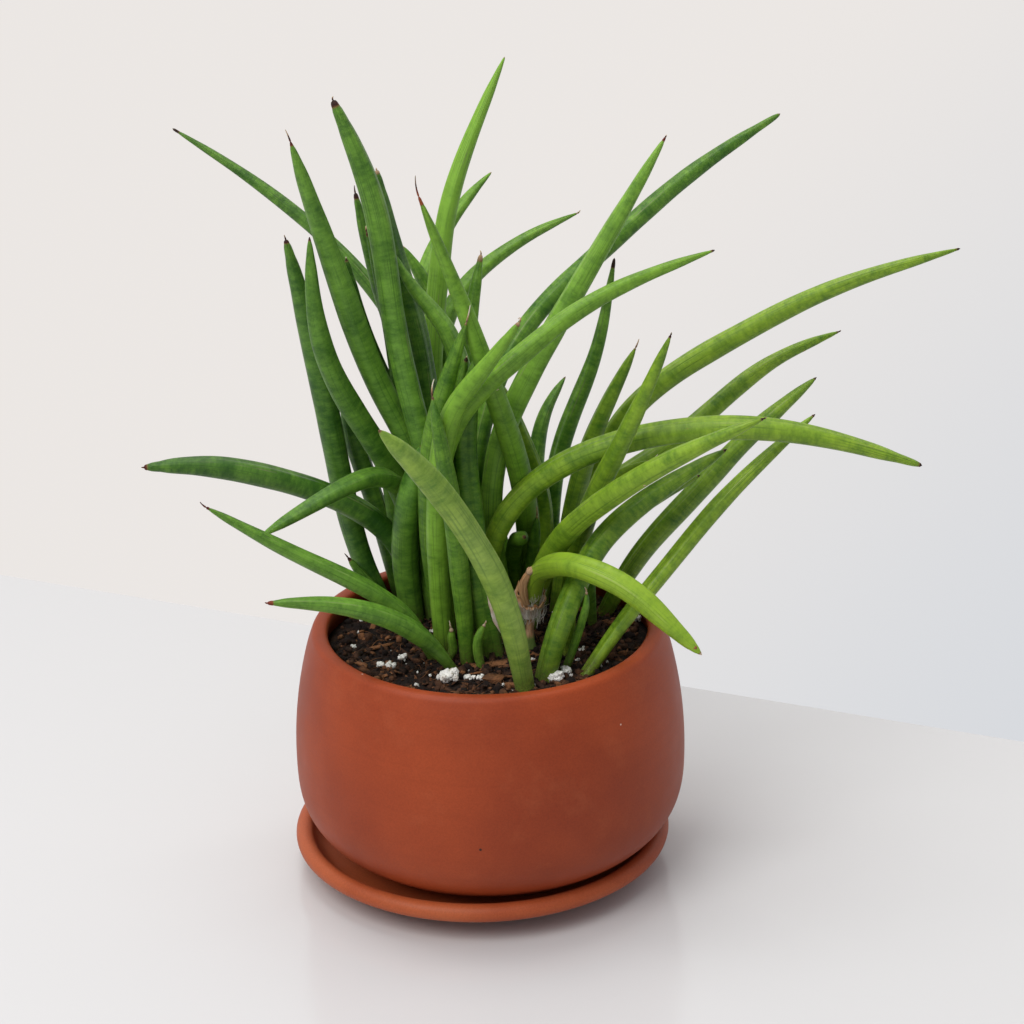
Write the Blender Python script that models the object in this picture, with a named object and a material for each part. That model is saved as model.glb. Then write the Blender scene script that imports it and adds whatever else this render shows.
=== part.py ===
"""A cylindrical-leaved snake plant in a round-bellied clay pot on its clay saucer.

The origin is the centre of the saucer's flat underside, +Z is up, and the front is -Y.
Lengths are written in millimetres and turned into metres by MM.
"""
import math

import bmesh
import bpy
import numpy as np
from mathutils import Vector

MM = 0.001
GAP = 0.3                    # clearance between pieces that rest on each other
STEPS_AROUND = 40            # flats around each turned piece

# Saucer
SAUCER_FOOT_RADIUS = 50.0
SAUCER_RADIUS = 74.2
SAUCER_FLOOR = 6.7           # height of the floor that the pot stands on
SAUCER_LIP = 3.6             # radius of the rolled lip
SAUCER_LIP_HEIGHT = 12.8     # of the middle of the lip

# Pot
POT_CENTRE = (4.0, -2.0)     # the pot stands a little off the saucer's centre
POT_BASE = SAUCER_FLOOR + GAP
POT_HEIGHT = 94.4
POT_FOOT_RADIUS = 43.0
POT_BELLY_RADIUS = 76.2
POT_BELLY_HEIGHT = 43.6      # above the pot's own foot
POT_MOUTH_RADIUS = 68.0
POT_WALL = 6.4
POT_FLOOR = 8.0
DRAIN_RADIUS = 6.0

# Soil
SOIL_TOP = 92.5              # above the surface that the saucer stands on
FREE_MOUTH_RADIUS = POT_MOUTH_RADIUS - POT_WALL

# Leaves
LEAF_SIDES = 8
LEAF_RINGS = 11
CHANNEL_DEPTH = 0.42         # how far the channel cuts into the leaf's radius
FOOT_WIDTH = 0.86            # a leaf's girth at its foot, as a share of its full girth
NARROW_FEET = {               # the same share for the leaves of the crowded middle and right
    "leaf_left_13": 0.62, "leaf_left_14": 0.52, "leaf_left_15": 0.70, "leaf_centre_08": 0.72,
    "leaf_right_07": 0.72, "leaf_right_08": 0.74, "leaf_right_12": 0.92, "leaf_centre_04": 0.72,
}
CLEARANCE = 0.7              # kept between neighbouring leaves
ROUNDS = 260                 # passes of moving crowded leaves apart

# The offset with its dry stem and papery sheath
STEM_RADIUS = 1.8
STUB_RADIUS = 2.4
STUB_HEIGHT = 6.0
STEM_TOP = 19.5
SHEATHED_LEAF = "leaf_right_12"
SHEATH_WALL = 0.6
SHEATH_REACH = (-6.0, 8.0)   # how far the sheath goes down the stem and up the leaf
SHEATH_FOOT_BORE = 2.4       # its inner radius at the bottom, around the stem

# Each leaf: its girth, the share of its length over which it narrows to the tip,
# and the points that it passes through from foot to tip. The points are measured
# from the pot's axis and from the soil's surface.
LEAVES = {
    "leaf_left_01": (6.3, 0.50, [(-7, 45, 0), (-17, 60, 66), (-39, 72, 118), (-66, 80, 146),
                                 (-93, 88, 166), (-119, 95, 182)]),
    "leaf_left_02": (10.0, 0.42, [(-17, 37, 0), (-30, 30, 67), (-41, 24, 100), (-50, 16, 135),
                                  (-61, 9, 176), (-67, 5, 199)]),
    "leaf_left_03": (9.8, 0.25, [(-10, 28, 0), (-27, 26, 81), (-33, 26, 123), (-38, 26, 168),
                                 (-52, 25, 209)]),
    "leaf_left_04": (7.0, 0.30, [(-16, 44, 0), (-33, 46, 109), (-43, 43, 153), (-46, 42, 169)]),
    "leaf_left_05": (8.5, 0.30, [(-5, 39, 0), (-22, 42, 64), (-24, 45, 105), (-32, 49, 142),
                                 (-38, 52, 175)]),
    "leaf_left_06": (10.0, 0.40, [(-40, 33, 0), (-48, 34, 21), (-56, 33, 60), (-60, 30, 90),
                                  (-67, 28, 131), (-72, 26, 156)]),
    "leaf_left_07": (9.3, 0.50, [(-24, 41, 0), (-33, 30, 61), (-45, 22, 85), (-56, 14, 108),
                                 (-61, 9, 130), (-62, 8, 162)]),
    "leaf_left_08": (8.0, 0.35, [(-13, 46, 0), (-30, 42, 73), (-38, 38, 96), (-45, 34, 119),
                                 (-50, 32, 146)]),
    "leaf_left_09": (5.0, 0.35, [(-27, 46, 0), (-32, 40, 86), (-39, 36, 140), (-42, 34, 156)]),
    "leaf_left_10": (9.4, 0.32, [(-24, 33, 0), (-37, 30, 35), (-56, 24, 52), (-82, 16, 65),
                                 (-108, 11, 72), (-129, 8, 73)]),
    "leaf_left_11": (7.8, 0.45, [(-21, 28, 0), (-29, 18, 55), (-41, 4, 67), (-60, -9, 65),
                                 (-84, -20, 55)]),
    "leaf_left_12": (10.4, 0.45, [(-29, 22, 0), (-31, 20, 29), (-29, 16, 54), (-23, 12, 78)]),
    "leaf_left_13": (7.0, 0.65, [(-21, -13, 0), (-29, -20, 19), (-42, -25, 33), (-69, -30, 51),
                                 (-102, -34, 73)]),
    "leaf_left_14": (8.0, 0.65, [(-13, -25, 0), (-20, -30, 12), (-34, -38, 27), (-54, -45, 37),
                                 (-80, -52, 42)]),
    "leaf_left_15": (5.0, 0.50, [(-34, 31, 0), (-42, 26, 10), (-54, 22, 28)]),
    "leaf_left_16": (8.5, 0.35, [(-33, 42, 0), (-43, 45, 42), (-51, 44, 72), (-54, 44, 91)]),
    "leaf_left_17": (6.0, 0.40, [(-29, 38, 0), (-35, 37, 50), (-43, 36, 72)]),
    "leaf_back_01": (7.5, 0.30, [(-4, 53, 0), (-14, 72, 91), (-22, 80, 120), (-30, 84, 135)]),
    "leaf_back_02": (8.5, 0.45, [(4, 28, 0), (1, 32, 55), (-6, 34, 92), (-15, 36, 119),
                                 (-26, 39, 133), (-32, 42, 144)]),
    "leaf_back_03": (8.3, 0.50, [(-13, 52, 0), (-21, 66, 80), (-16, 74, 124), (-11, 79, 153),
                                 (0, 84, 183), (12, 88, 209)]),
    "leaf_back_04": (8.0, 0.45, [(-21, 51, 0), (-25, 84, 91), (-21, 98, 120), (-10, 108, 139),
                                 (0, 114, 150), (6, 118, 155)]),
    "leaf_back_05": (8.0, 0.60, [(5, 53, 0), (-19, 78, 80), (-10, 96, 109), (3, 108, 119),
                                 (21, 118, 128), (41, 125, 135)]),
    "leaf_back_06": (5.5, 0.20, [(13, 50, 0), (-5, 66, 76), (-3, 74, 111), (1, 80, 132)]),
    "leaf_back_07": (7.6, 0.35, [(-3, 20, 0), (2, 26, 82), (16, 38, 112), (47, 56, 139),
                                 (83, 72, 165), (119, 84, 185)]),
    "leaf_back_08": (9.6, 0.55, [(8, 22, 0), (6, 18, 75), (17, 18, 101), (34, 19, 132),
                                 (50, 21, 159), (70, 22, 193)]),
    "leaf_back_09": (8.0, 0.85, [(26, 45, 0), (27, 52, 42), (34, 57, 68), (45, 60, 96),
                                 (50, 62, 117), (53, 64, 134)]),
    "leaf_back_10": (7.0, 0.50, [(21, 50, 0), (21, 74, 42), (26, 82, 65), (34, 88, 77)]),
    "leaf_centre_01": (9.0, 0.70, [(15, 41, 0), (16, 30, 21), (13, 14, 62), (4, 2, 99),
                                   (-8, -4, 141), (-21, -8, 181)]),
    "leaf_centre_02": (8.0, 0.50, [(-16, 3, 0), (-17, -4, 61), (-9, -12, 97), (7, -14, 115),
                                   (39, -4, 137), (87, 6, 154)]),
    "leaf_centre_03": (8.4, 0.40, [(-17, -6, 0), (-16, -16, 82), (-11, -22, 103), (0, -26, 120),
                                   (14, -28, 139)]),
    "leaf_centre_04": (7.6, 0.45, [(-9, -17, 0), (-10, -18, 26), (-12, -20, 64), (-15, -22, 92),
                                   (-18, -22, 110)]),
    "leaf_centre_05": (9.5, 0.30, [(2, -12, 0), (-2, -12, 23), (-6, -6, 58), (-8, -2, 85),
                                   (-1, 4, 116)]),
    "leaf_centre_06": (8.0, 0.40, [(-18, 17, 0), (-22, 8, 44), (-20, 0, 78), (-13, -6, 108),
                                   (-5, -8, 133)]),
    "leaf_centre_07": (6.0, 0.30, [(-7, 8, 0), (-8, 6, 77), (-5, 2, 115)]),
    "leaf_centre_08": (9.8, 0.28, [(13.5, -43, 0), (6, -50, 40), (-8, -60, 75), (-24, -70, 102),
                                    (-36, -76, 117)]),
    "leaf_centre_09": (6.5, 0.15, [(8, 33, 0), (10, 26, 21), (10, 20, 32), (12, 10, 39),
                                   (15, 2, 43)]),
    "leaf_centre_10": (5.0, 0.40, [(17, 27, 0), (18, 20, 28), (20, 16, 46)]),
    "leaf_right_01": (8.9, 0.60, [(22, 38, 0), (37, 40, 42), (61, 40, 83), (92, 38, 106),
                                  (134, 34, 129), (182, 30, 145)]),
    "leaf_right_02": (9.6, 0.40, [(0, 10, 0), (5, 6, 46), (27, 2, 70), (59, -4, 84),
                                  (107, -8, 88), (164, -10, 73)]),
    "leaf_right_03": (8.3, 0.55, [(33, 41, 0), (44, 48, 39), (70, 53, 57), (91, 57, 73),
                                  (116, 62, 91), (142, 66, 101)]),
    "leaf_right_04": (8.5, 0.60, [(27, 31, 0), (37, 34, 53), (45, 30, 79), (52, 28, 95),
                                  (59, 26, 110)]),
    "leaf_right_05": (8.0, 0.60, [(31, 22, 0), (40, 4, 54), (50, -10, 83), (60, -18, 108),
                                  (69, -22, 131)]),
    "leaf_right_06": (9.5, 0.55, [(15, 12, 0), (29, -8, 45), (45, -22, 67), (68, -34, 87),
                                  (101, -44, 106)]),
    "leaf_right_07": (8.7, 0.50, [(46, 24, 0), (61, 22, 27), (81, 25, 49), (100, 28, 69),
                                  (129, 32, 94)]),
    "leaf_right_08": (6.8, 0.50, [(37, -30, 0), (51, -22, 17), (67, -12, 33), (89, -4, 57),
                                  (126, 10, 87)]),
    "leaf_right_09": (9.0, 0.50, [(20, -35, 0), (27, -25, 28), (39.5, -8, 45), (59, -4, 59),
                                  (92, 4, 76)]),
    "leaf_right_10": (7.0, 0.40, [(30, -12, 0), (33, -12, 28), (48, 0, 46), (83, 16, 61)]),
    "leaf_right_11": (6.0, 0.40, [(38, 33, 0), (39, 16, 48), (50, 8, 64), (63, 2, 73)]),
    "leaf_right_12": (9.0, 0.40, [(21.5, -5, 20), (23, -7.5, 26), (27, -15.5, 34.5),
                                  (37, -33, 43.5), (52, -43, 40), (64, -49, 31),
                                  (78, -56.5, 19)]),
    "leaf_right_13": (6.0, 0.30, [(24, 36, 0), (24, 42, 42), (15, 40, 71), (6, 38, 95)]),
    "shoot_01": (4.0, 0.50, [(-3, -22, 0), (-4, -22, 11), (-1, -22, 18)]),
    "shoot_02": (3.5, 0.50, [(-15, -14, 0), (-13, -16, 6), (-14, -18, 15)]),
    "shoot_03": (3.6, 0.50, [(29, -26, 0), (35, -26, 20), (37, -28, 33)]),
    "shoot_04": (4.5, 0.50, [(41, 14, 0), (40, 8, 17), (40, 4, 35)]),
}
LEAF_TONES = {
    "leaf_left": "leaf_deep",
    "leaf_back": "leaf_mid",
    "leaf_centre": "leaf_fresh",
    "leaf_right": "leaf_fresh",
    "shoot": "leaf_deep",
}


# Materials

def make_material(name, colour, roughness):
    """A plain Principled material in one colour."""
    material = bpy.data.materials.new(name)
    material.use_nodes = True
    shader = material.node_tree.nodes["Principled BSDF"]
    shader.inputs["Base Color"].default_value = (*colour, 1.0)
    shader.inputs["Roughness"].default_value = roughness
    shader.inputs["Metallic"].default_value = 0.0
    return material


def make_materials():
    """Every material of the part, by slot name."""
    return {
        "clay": make_material("clay", (0.36, 0.085, 0.040), 0.50),
        "soil": make_material("soil", (0.030, 0.016, 0.010), 0.95),
        "husk": make_material("husk", (0.42, 0.26, 0.14), 0.85),
        "leaf_deep": make_material("leaf_deep", (0.045, 0.135, 0.020), 0.48),
        "leaf_mid": make_material("leaf_mid", (0.095, 0.235, 0.035), 0.46),
        "leaf_fresh": make_material("leaf_fresh", (0.155, 0.300, 0.035), 0.45),
    }


# Turned pieces

def arc(centre, radius, start, end, count):
    """Points on a circle in the profile plane, from one angle to another, in degrees."""
    angles = np.radians(np.linspace(start, end, count))
    return [(centre[0] + radius * math.cos(a), centre[1] + radius * math.sin(a)) for a in angles]


def turn(name, outline, centre, base, material):
    """Spin a closed outline of (radius, height) points about a vertical axis."""
    mesh = bpy.data.meshes.new(name)
    shape = bmesh.new()
    points = [shape.verts.new((r * MM, 0.0, z * MM)) for r, z in outline]
    pairs = list(zip(points, points[1:]))
    if outline[0][0] > 0.0:
        pairs.append((points[-1], points[0]))
    edges = [shape.edges.new(pair) for pair in pairs]
    bmesh.ops.spin(shape, geom=points + edges, axis=(0, 0, 1), cent=(0, 0, 0),
                   angle=2.0 * math.pi, steps=STEPS_AROUND, use_merge=True)
    bmesh.ops.remove_doubles(shape, verts=shape.verts, dist=0.00002)
    bmesh.ops.recalc_face_normals(shape, faces=shape.faces)
    shape.to_mesh(mesh)
    shape.free()
    finish(name, mesh, material, (centre[0] * MM, centre[1] * MM, base * MM))


def finish(name, mesh, material, location=(0.0, 0.0, 0.0)):
    """Put a mesh in the scene as one smooth, named piece."""
    mesh.materials.append(material)
    mesh.shade_smooth()
    mesh.set_sharp_from_angle(angle=math.radians(40.0))
    piece = bpy.data.objects.new(name, mesh)
    piece.location = location
    bpy.context.scene.collection.objects.link(piece)
    return piece


def saucer_outline():
    """A shallow dish with a thick rolled lip."""
    lip = arc((SAUCER_RADIUS - SAUCER_LIP, SAUCER_LIP_HEIGHT), SAUCER_LIP, -50, 165, 8)
    return [(0.0, 0.0), (SAUCER_FOOT_RADIUS, 0.0), (SAUCER_FOOT_RADIUS + 2.5, 0.7), (64.0, 4.6),
            *lip, (64.5, 9.6), (60.0, SAUCER_FLOOR + 0.5), (55.0, SAUCER_FLOOR),
            (0.0, SAUCER_FLOOR)]


def pot_radius(height):
    """The pot's outer radius at a height above its foot."""
    if height < POT_BELLY_HEIGHT:
        share = 1.0 - height / POT_BELLY_HEIGHT
        return POT_FOOT_RADIUS + (POT_BELLY_RADIUS - POT_FOOT_RADIUS) * (1.0 - share ** 3.7)
    share = (height - POT_BELLY_HEIGHT) / (POT_HEIGHT - POT_BELLY_HEIGHT)
    return POT_BELLY_RADIUS - (POT_BELLY_RADIUS - POT_MOUTH_RADIUS) * share ** 2.0


def pot_outline():
    """The wall from the drain hole around the outside, over the rim and down the inside."""
    outside = [(pot_radius(z), z) for z in (1.2, 3.5, 7, 12, 19, 28, 38, 48, 60, 72, 83, 92.4)]
    rim = [(POT_MOUTH_RADIUS - 0.9, POT_HEIGHT - 0.4), (POT_MOUTH_RADIUS - 2.0, POT_HEIGHT),
           (FREE_MOUTH_RADIUS + 1.2, POT_HEIGHT), (FREE_MOUTH_RADIUS + 0.2, POT_HEIGHT - 0.9)]
    return [(DRAIN_RADIUS, 0.0), (POT_FOOT_RADIUS - 1.5, 0.0), *outside, *rim,
            *reversed(inner_wall(0.0)), (DRAIN_RADIUS, POT_FLOOR)]


def inner_wall(clearance):
    """Points up the inside of the pot, set in from the wall by a clearance."""
    heights = (POT_FLOOR, 12.0, 17.0, 24.0, 34.0, 48.0, 62.0, 76.0, 85.0)
    return [(pot_radius(z) - POT_WALL - clearance - (3.0 if z == POT_FLOOR else 0.0),
             z + clearance) for z in heights]


def soil_outline():
    """The potting mix, level on top, filling the pot to just under its rim."""
    top = SOIL_TOP - POT_BASE
    edge = pot_radius(top) - POT_WALL - GAP
    floor = POT_FLOOR + GAP
    return [(0.0, floor), *inner_wall(GAP)[:-1], (edge, top), (0.0, top)]


# Leaves

def smooth_path(points, count):
    """A natural cubic spline through the points, denser towards its last one."""
    points = np.array(points, dtype=float)
    lengths = np.concatenate([[0.0], np.cumsum(np.linalg.norm(np.diff(points, axis=0), axis=1))])
    spans = np.diff(lengths)
    slopes = np.diff(points, axis=0) / spans[:, None]
    system = np.eye(len(points))
    target = np.zeros_like(points)
    for k in range(1, len(points) - 1):
        system[k, k - 1:k + 2] = spans[k - 1], 2.0 * (spans[k - 1] + spans[k]), spans[k]
        target[k] = 6.0 * (slopes[k] - slopes[k - 1])
    bend = np.linalg.solve(system, target)
    places = lengths[-1] * leaf_places(count)
    k = np.clip(np.searchsorted(lengths, places, side="right") - 1, 0, len(spans) - 1)
    along = (places - lengths[k])[:, None]
    span = spans[k][:, None]
    start = slopes[k] - span * (2.0 * bend[k] + bend[k + 1]) / 6.0
    twist = (bend[k + 1] - bend[k]) / (6.0 * span)
    return points[k] + along * (start + along * (bend[k] / 2.0 + along * twist))


def leaf_places(count):
    """Where a leaf's rings lie along it, from 0 at the foot to 1 at the tip."""
    return 1.0 - (1.0 - np.linspace(0.0, 1.0, count)) ** 1.35


def leaf_radii(name, count):
    """A leaf's radius at each ring: narrower at the foot, drawn out to a point at the tip."""
    girth, taper, _ = LEAVES[name]
    places = leaf_places(count)
    foot = NARROW_FEET.get(name, FOOT_WIDTH)
    narrowing = np.clip((1.0 - places) / taper, 0.0, 1.0)
    swelling = foot + (1.0 - foot) * np.clip(places / 0.3, 0.0, 1.0)
    return girth / 2.0 * (narrowing * (2.0 - narrowing)) ** 0.6 * swelling


def sample_matrix(rings, samples):
    """Weights that turn ring centres into evenly spread points between them."""
    positions = np.linspace(0.0, rings - 1.0, samples)
    low = np.minimum(positions.astype(int), rings - 2)
    weights = np.zeros((samples, rings))
    weights[np.arange(samples), low] = 1.0 - (positions - low)
    weights[np.arange(samples), low + 1] += positions - low
    return weights


def push_pair(first, second, radii_a, radii_b, weights):
    """The worst overlap of two leaves: the push for the first, and where it acts on both."""
    a = weights @ first
    b = weights @ second
    apart = a[:, None] - b[None]
    distance = np.linalg.norm(apart, axis=2)
    shortfall = (weights @ radii_a)[:, None] + (weights @ radii_b)[None] + CLEARANCE - distance
    row, column = np.unravel_index(np.argmax(shortfall), shortfall.shape)
    if shortfall[row, column] <= 0.0:
        return None
    direction = apart[row, column] * (0.45, 1.0, 0.2)
    direction[1] += 0.05 * math.copysign(1.0, (first - second)[:, 1].mean())
    direction /= np.linalg.norm(direction)
    place = np.array([row, column]) / (len(weights) - 1.0)
    return direction * shortfall[row, column] * 0.55, place


def keep_inside_mouth(spine, radii, weights):
    """Move the low end of a leaf in from the pot's rim."""
    points = weights @ spine
    reach = np.hypot(points[:, 0], points[:, 1]) + weights @ radii
    rim = POT_BASE + POT_HEIGHT - SOIL_TOP + 2.0
    excess = np.where(points[:, 2] < rim, reach - (FREE_MOUTH_RADIUS - 1.2), 0.0)
    worst = excess.argmax()
    if excess[worst] <= 0.0:
        return
    inward = -points[worst, :2] / np.linalg.norm(points[worst, :2])
    ring = worst * (len(spine) - 1.0) / (len(weights) - 1.0)
    fade = np.exp(-((np.arange(len(spine)) - ring) / 2.5) ** 2)
    spine[:, :2] += excess[worst] * fade[:, None] * inward


def give_room(spines, radii):
    """Move crowded leaves apart, mostly front to back, until no two touch."""
    rings = spines.shape[1]
    weights = sample_matrix(rings, 4 * rings)
    places = np.linspace(0.0, 1.0, rings)
    for _ in range(ROUNDS):
        moved = False
        low = spines.min(axis=1) - 6.0
        high = spines.max(axis=1) + 6.0
        for i in range(len(spines)):
            keep_inside_mouth(spines[i], radii[i], weights)
            for j in range(i + 1, len(spines)):
                if np.any(low[i] > high[j]) or np.any(low[j] > high[i]):
                    continue
                push = push_pair(spines[i], spines[j], radii[i], radii[j], weights)
                if push is None:
                    continue
                moved = True
                vector, (here, there) = push
                for spine, place, sign in ((spines[i], here, 1.0), (spines[j], there, -1.0)):
                    fade = np.exp(-((places - place) / 0.22) ** 2)[:, None]
                    foot = spine[0, 2]
                    spine += sign * fade * vector
                    spine[0, 2] = foot
        if not moved:
            return


def leaf_frames(spine):
    """Two cross directions at each ring; the first stays on the leaf's upper side."""
    tangents = np.gradient(spine, axis=0)
    tangents /= np.linalg.norm(tangents, axis=1)[:, None]
    lean = spine[-1] - spine[0]
    upper = np.array([-lean[0], -lean[1], 0.0])
    frames = []
    for tangent in tangents:
        upper = upper - tangent * upper.dot(tangent)
        upper = upper / np.linalg.norm(upper)
        frames.append((upper, np.cross(tangent, upper), tangent))
    return frames


def leaf_ring(centre, radius, frame):
    """One ring of a leaf's skin; its first point lies at the bottom of the channel."""
    upper, side, _ = frame
    ring = []
    for k in range(LEAF_SIDES):
        angle = 2.0 * math.pi * k / LEAF_SIDES
        reach = radius * (1.0 - CHANNEL_DEPTH) if k == 0 else radius
        ring.append(centre + reach * (math.cos(angle) * upper + math.sin(angle) * side))
    return ring


def level_foot(ring, tangent, height):
    """Slide a leaf's lowest ring along the leaf until it lies level."""
    return [point + tangent * (height - point[2]) / tangent[2] for point in ring]


def build_leaf(name, spine, radii, material):
    """A closed leaf: a level foot, rings along the spine and one point at the tip."""
    frames = leaf_frames(spine)
    rings = [leaf_ring(c, r, f) for c, r, f in zip(spine[:-1], radii[:-1], frames[:-1])]
    rings[0] = level_foot(rings[0], frames[0][2], spine[0][2])
    shape = bmesh.new()
    to_world = np.array([POT_CENTRE[0], POT_CENTRE[1], SOIL_TOP + GAP])
    rows = [[shape.verts.new(Vector((p + to_world) * MM)) for p in ring] for ring in rings]
    tip = shape.verts.new(Vector((spine[-1] + to_world) * MM))
    for lower, upper in zip(rows, rows[1:]):
        for k in range(LEAF_SIDES):
            n = (k + 1) % LEAF_SIDES
            shape.faces.new((lower[k], lower[n], upper[n], upper[k]))
    for k in range(LEAF_SIDES):
        shape.faces.new((rows[-1][k], rows[-1][(k + 1) % LEAF_SIDES], tip))
    shape.faces.new(list(reversed(rows[0])))
    bmesh.ops.recalc_face_normals(shape, faces=shape.faces)
    mesh = bpy.data.meshes.new(name)
    shape.to_mesh(mesh)
    shape.free()
    finish(name, mesh, material)


def build_leaves(materials):
    """Lay out every leaf with the dry stem among them, part them, and build each one."""
    names = list(LEAVES)
    spines = [smooth_path(path, LEAF_RINGS) for _, _, path in LEAVES.values()]
    radii = [leaf_radii(name, LEAF_RINGS) for name in names]
    sheathed = names.index(SHEATHED_LEAF)
    room = [r.copy() for r in radii]
    room[sheathed][:4] += SHEATH_WALL + 4.0 * GAP
    stem_foot = (*LEAVES[SHEATHED_LEAF][2][0][:2], 0.0)
    stem_head = (*stem_foot[:2], STEM_TOP)
    spines.append(np.linspace(stem_foot, stem_head, LEAF_RINGS))
    room.append(np.full(LEAF_RINGS, STUB_RADIUS))
    spines = np.array(spines)
    give_room(spines, np.array(room))
    for name, spine, radius in zip(names, spines, radii):
        tone = LEAF_TONES[name.rsplit("_", 1)[0]]
        build_leaf(name, spine, radius, materials[tone])
    build_stem(spines[sheathed][0], materials["husk"])
    build_sheath(spines[sheathed], radii[sheathed], materials["husk"])


# The offset's dry stem and sheath

def build_stem(leaf_foot, material):
    """The short dried runner that carries the offset, green and swollen at the bottom."""
    outline = [(0.0, 0.0), (STUB_RADIUS - 0.4, 0.0), (STUB_RADIUS, 1.5),
               (STUB_RADIUS, STUB_HEIGHT - 1.5), (STEM_RADIUS - 0.4, STUB_HEIGHT + 1.0),
               (STEM_RADIUS, STUB_HEIGHT + 4.0), (STEM_RADIUS, leaf_foot[2] - GAP),
               (0.0, leaf_foot[2] - GAP)]
    centre = (POT_CENTRE[0] + leaf_foot[0], POT_CENTRE[1] + leaf_foot[1])
    turn("dry_stem", outline, centre, SOIL_TOP + GAP, material)


def build_sheath(spine, radii, material):
    """A papery funnel around the stem's top and the offset leaf's foot, open at both ends."""
    lengths = np.concatenate([[0.0], np.cumsum(np.linalg.norm(np.diff(spine, axis=0), axis=1))])
    low, high = SHEATH_REACH
    stations = np.array([low, low * 0.6, low * 0.25, 0.4, high * 0.35, high * 0.7, high])
    centres = np.stack([np.interp(stations, lengths, spine[:, k]) for k in range(3)], axis=1)
    centres[:, 2] += np.minimum(stations, 0.0)
    inner = np.interp(stations, lengths, radii) + 3.5 * GAP
    inner[:3] = np.interp(stations[:3], (low, 0.0), (SHEATH_FOOT_BORE, inner[3]))
    frames = leaf_frames(centres)
    shape = bmesh.new()
    to_world = np.array([POT_CENTRE[0], POT_CENTRE[1], SOIL_TOP + GAP])
    rows = []
    for extra, order in ((0.0, 1), (SHEATH_WALL, -1)):
        for k in range(len(stations))[::order]:
            upper, side, _ = frames[k]
            row = []
            for step in range(12):
                angle = math.pi * step / 6.0
                reach = inner[k] + extra
                point = centres[k] + reach * (math.cos(angle) * upper + math.sin(angle) * side)
                row.append(shape.verts.new(Vector((point + to_world) * MM)))
            rows.append(row)
    for lower, upper in zip(rows, rows[1:] + rows[:1]):
        for k in range(12):
            n = (k + 1) % 12
            shape.faces.new((lower[k], lower[n], upper[n], upper[k]))
    bmesh.ops.recalc_face_normals(shape, faces=shape.faces)
    mesh = bpy.data.meshes.new("papery_sheath")
    shape.to_mesh(mesh)
    shape.free()
    finish("papery_sheath", mesh, material)


# Assembly

for old in list(bpy.data.objects):
    bpy.data.objects.remove(old, do_unlink=True)

MATERIALS = make_materials()
turn("saucer", saucer_outline(), (0.0, 0.0), 0.0, MATERIALS["clay"])
turn("pot", pot_outline(), POT_CENTRE, POT_BASE, MATERIALS["clay"])
turn("potting_soil", soil_outline(), POT_CENTRE, POT_BASE, MATERIALS["soil"])
build_leaves(MATERIALS)
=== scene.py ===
import math
import random

import bmesh
import bpy
import numpy as np
from mathutils import Euler, Matrix, Vector, noise


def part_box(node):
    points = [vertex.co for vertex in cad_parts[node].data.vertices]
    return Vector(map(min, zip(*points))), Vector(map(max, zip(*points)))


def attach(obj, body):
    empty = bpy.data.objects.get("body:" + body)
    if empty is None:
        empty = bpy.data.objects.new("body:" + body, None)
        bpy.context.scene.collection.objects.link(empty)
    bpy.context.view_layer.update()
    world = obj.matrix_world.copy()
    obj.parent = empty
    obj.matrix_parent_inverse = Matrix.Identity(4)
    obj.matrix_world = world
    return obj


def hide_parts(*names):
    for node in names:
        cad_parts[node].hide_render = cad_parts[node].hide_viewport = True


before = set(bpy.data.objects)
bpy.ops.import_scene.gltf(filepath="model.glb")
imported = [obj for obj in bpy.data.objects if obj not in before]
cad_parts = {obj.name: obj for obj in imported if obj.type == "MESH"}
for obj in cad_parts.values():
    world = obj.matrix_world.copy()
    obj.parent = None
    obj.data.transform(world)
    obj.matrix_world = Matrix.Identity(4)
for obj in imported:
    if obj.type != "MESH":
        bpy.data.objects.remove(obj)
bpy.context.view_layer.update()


# Saucer ------------------------------------------------------------------------------
# A shallow dish of red clay, turned on a wheel and fired without a glaze. Its lip is
# rolled thick, and its floor is level so that the pot stands flat in it.

MM = 0.001
MERGE_DISTANCE = 0.00002
RELIEF_STRENGTH = 0.8
SAUCER_AROUND = 72
SAUCER_LIP_MIDDLE = (70.6, 12.8)
SAUCER_LIP_RADIUS = 3.6


def rolled_lip(middle, radius, start, end, steps):
    """Stations round a rolled edge, from one angle to another."""
    angles = [math.radians(start + (end - start) * k / steps) for k in range(steps + 1)]
    return [(middle[0] + radius * math.cos(a), middle[1] + radius * math.sin(a)) for a in angles]


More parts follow.
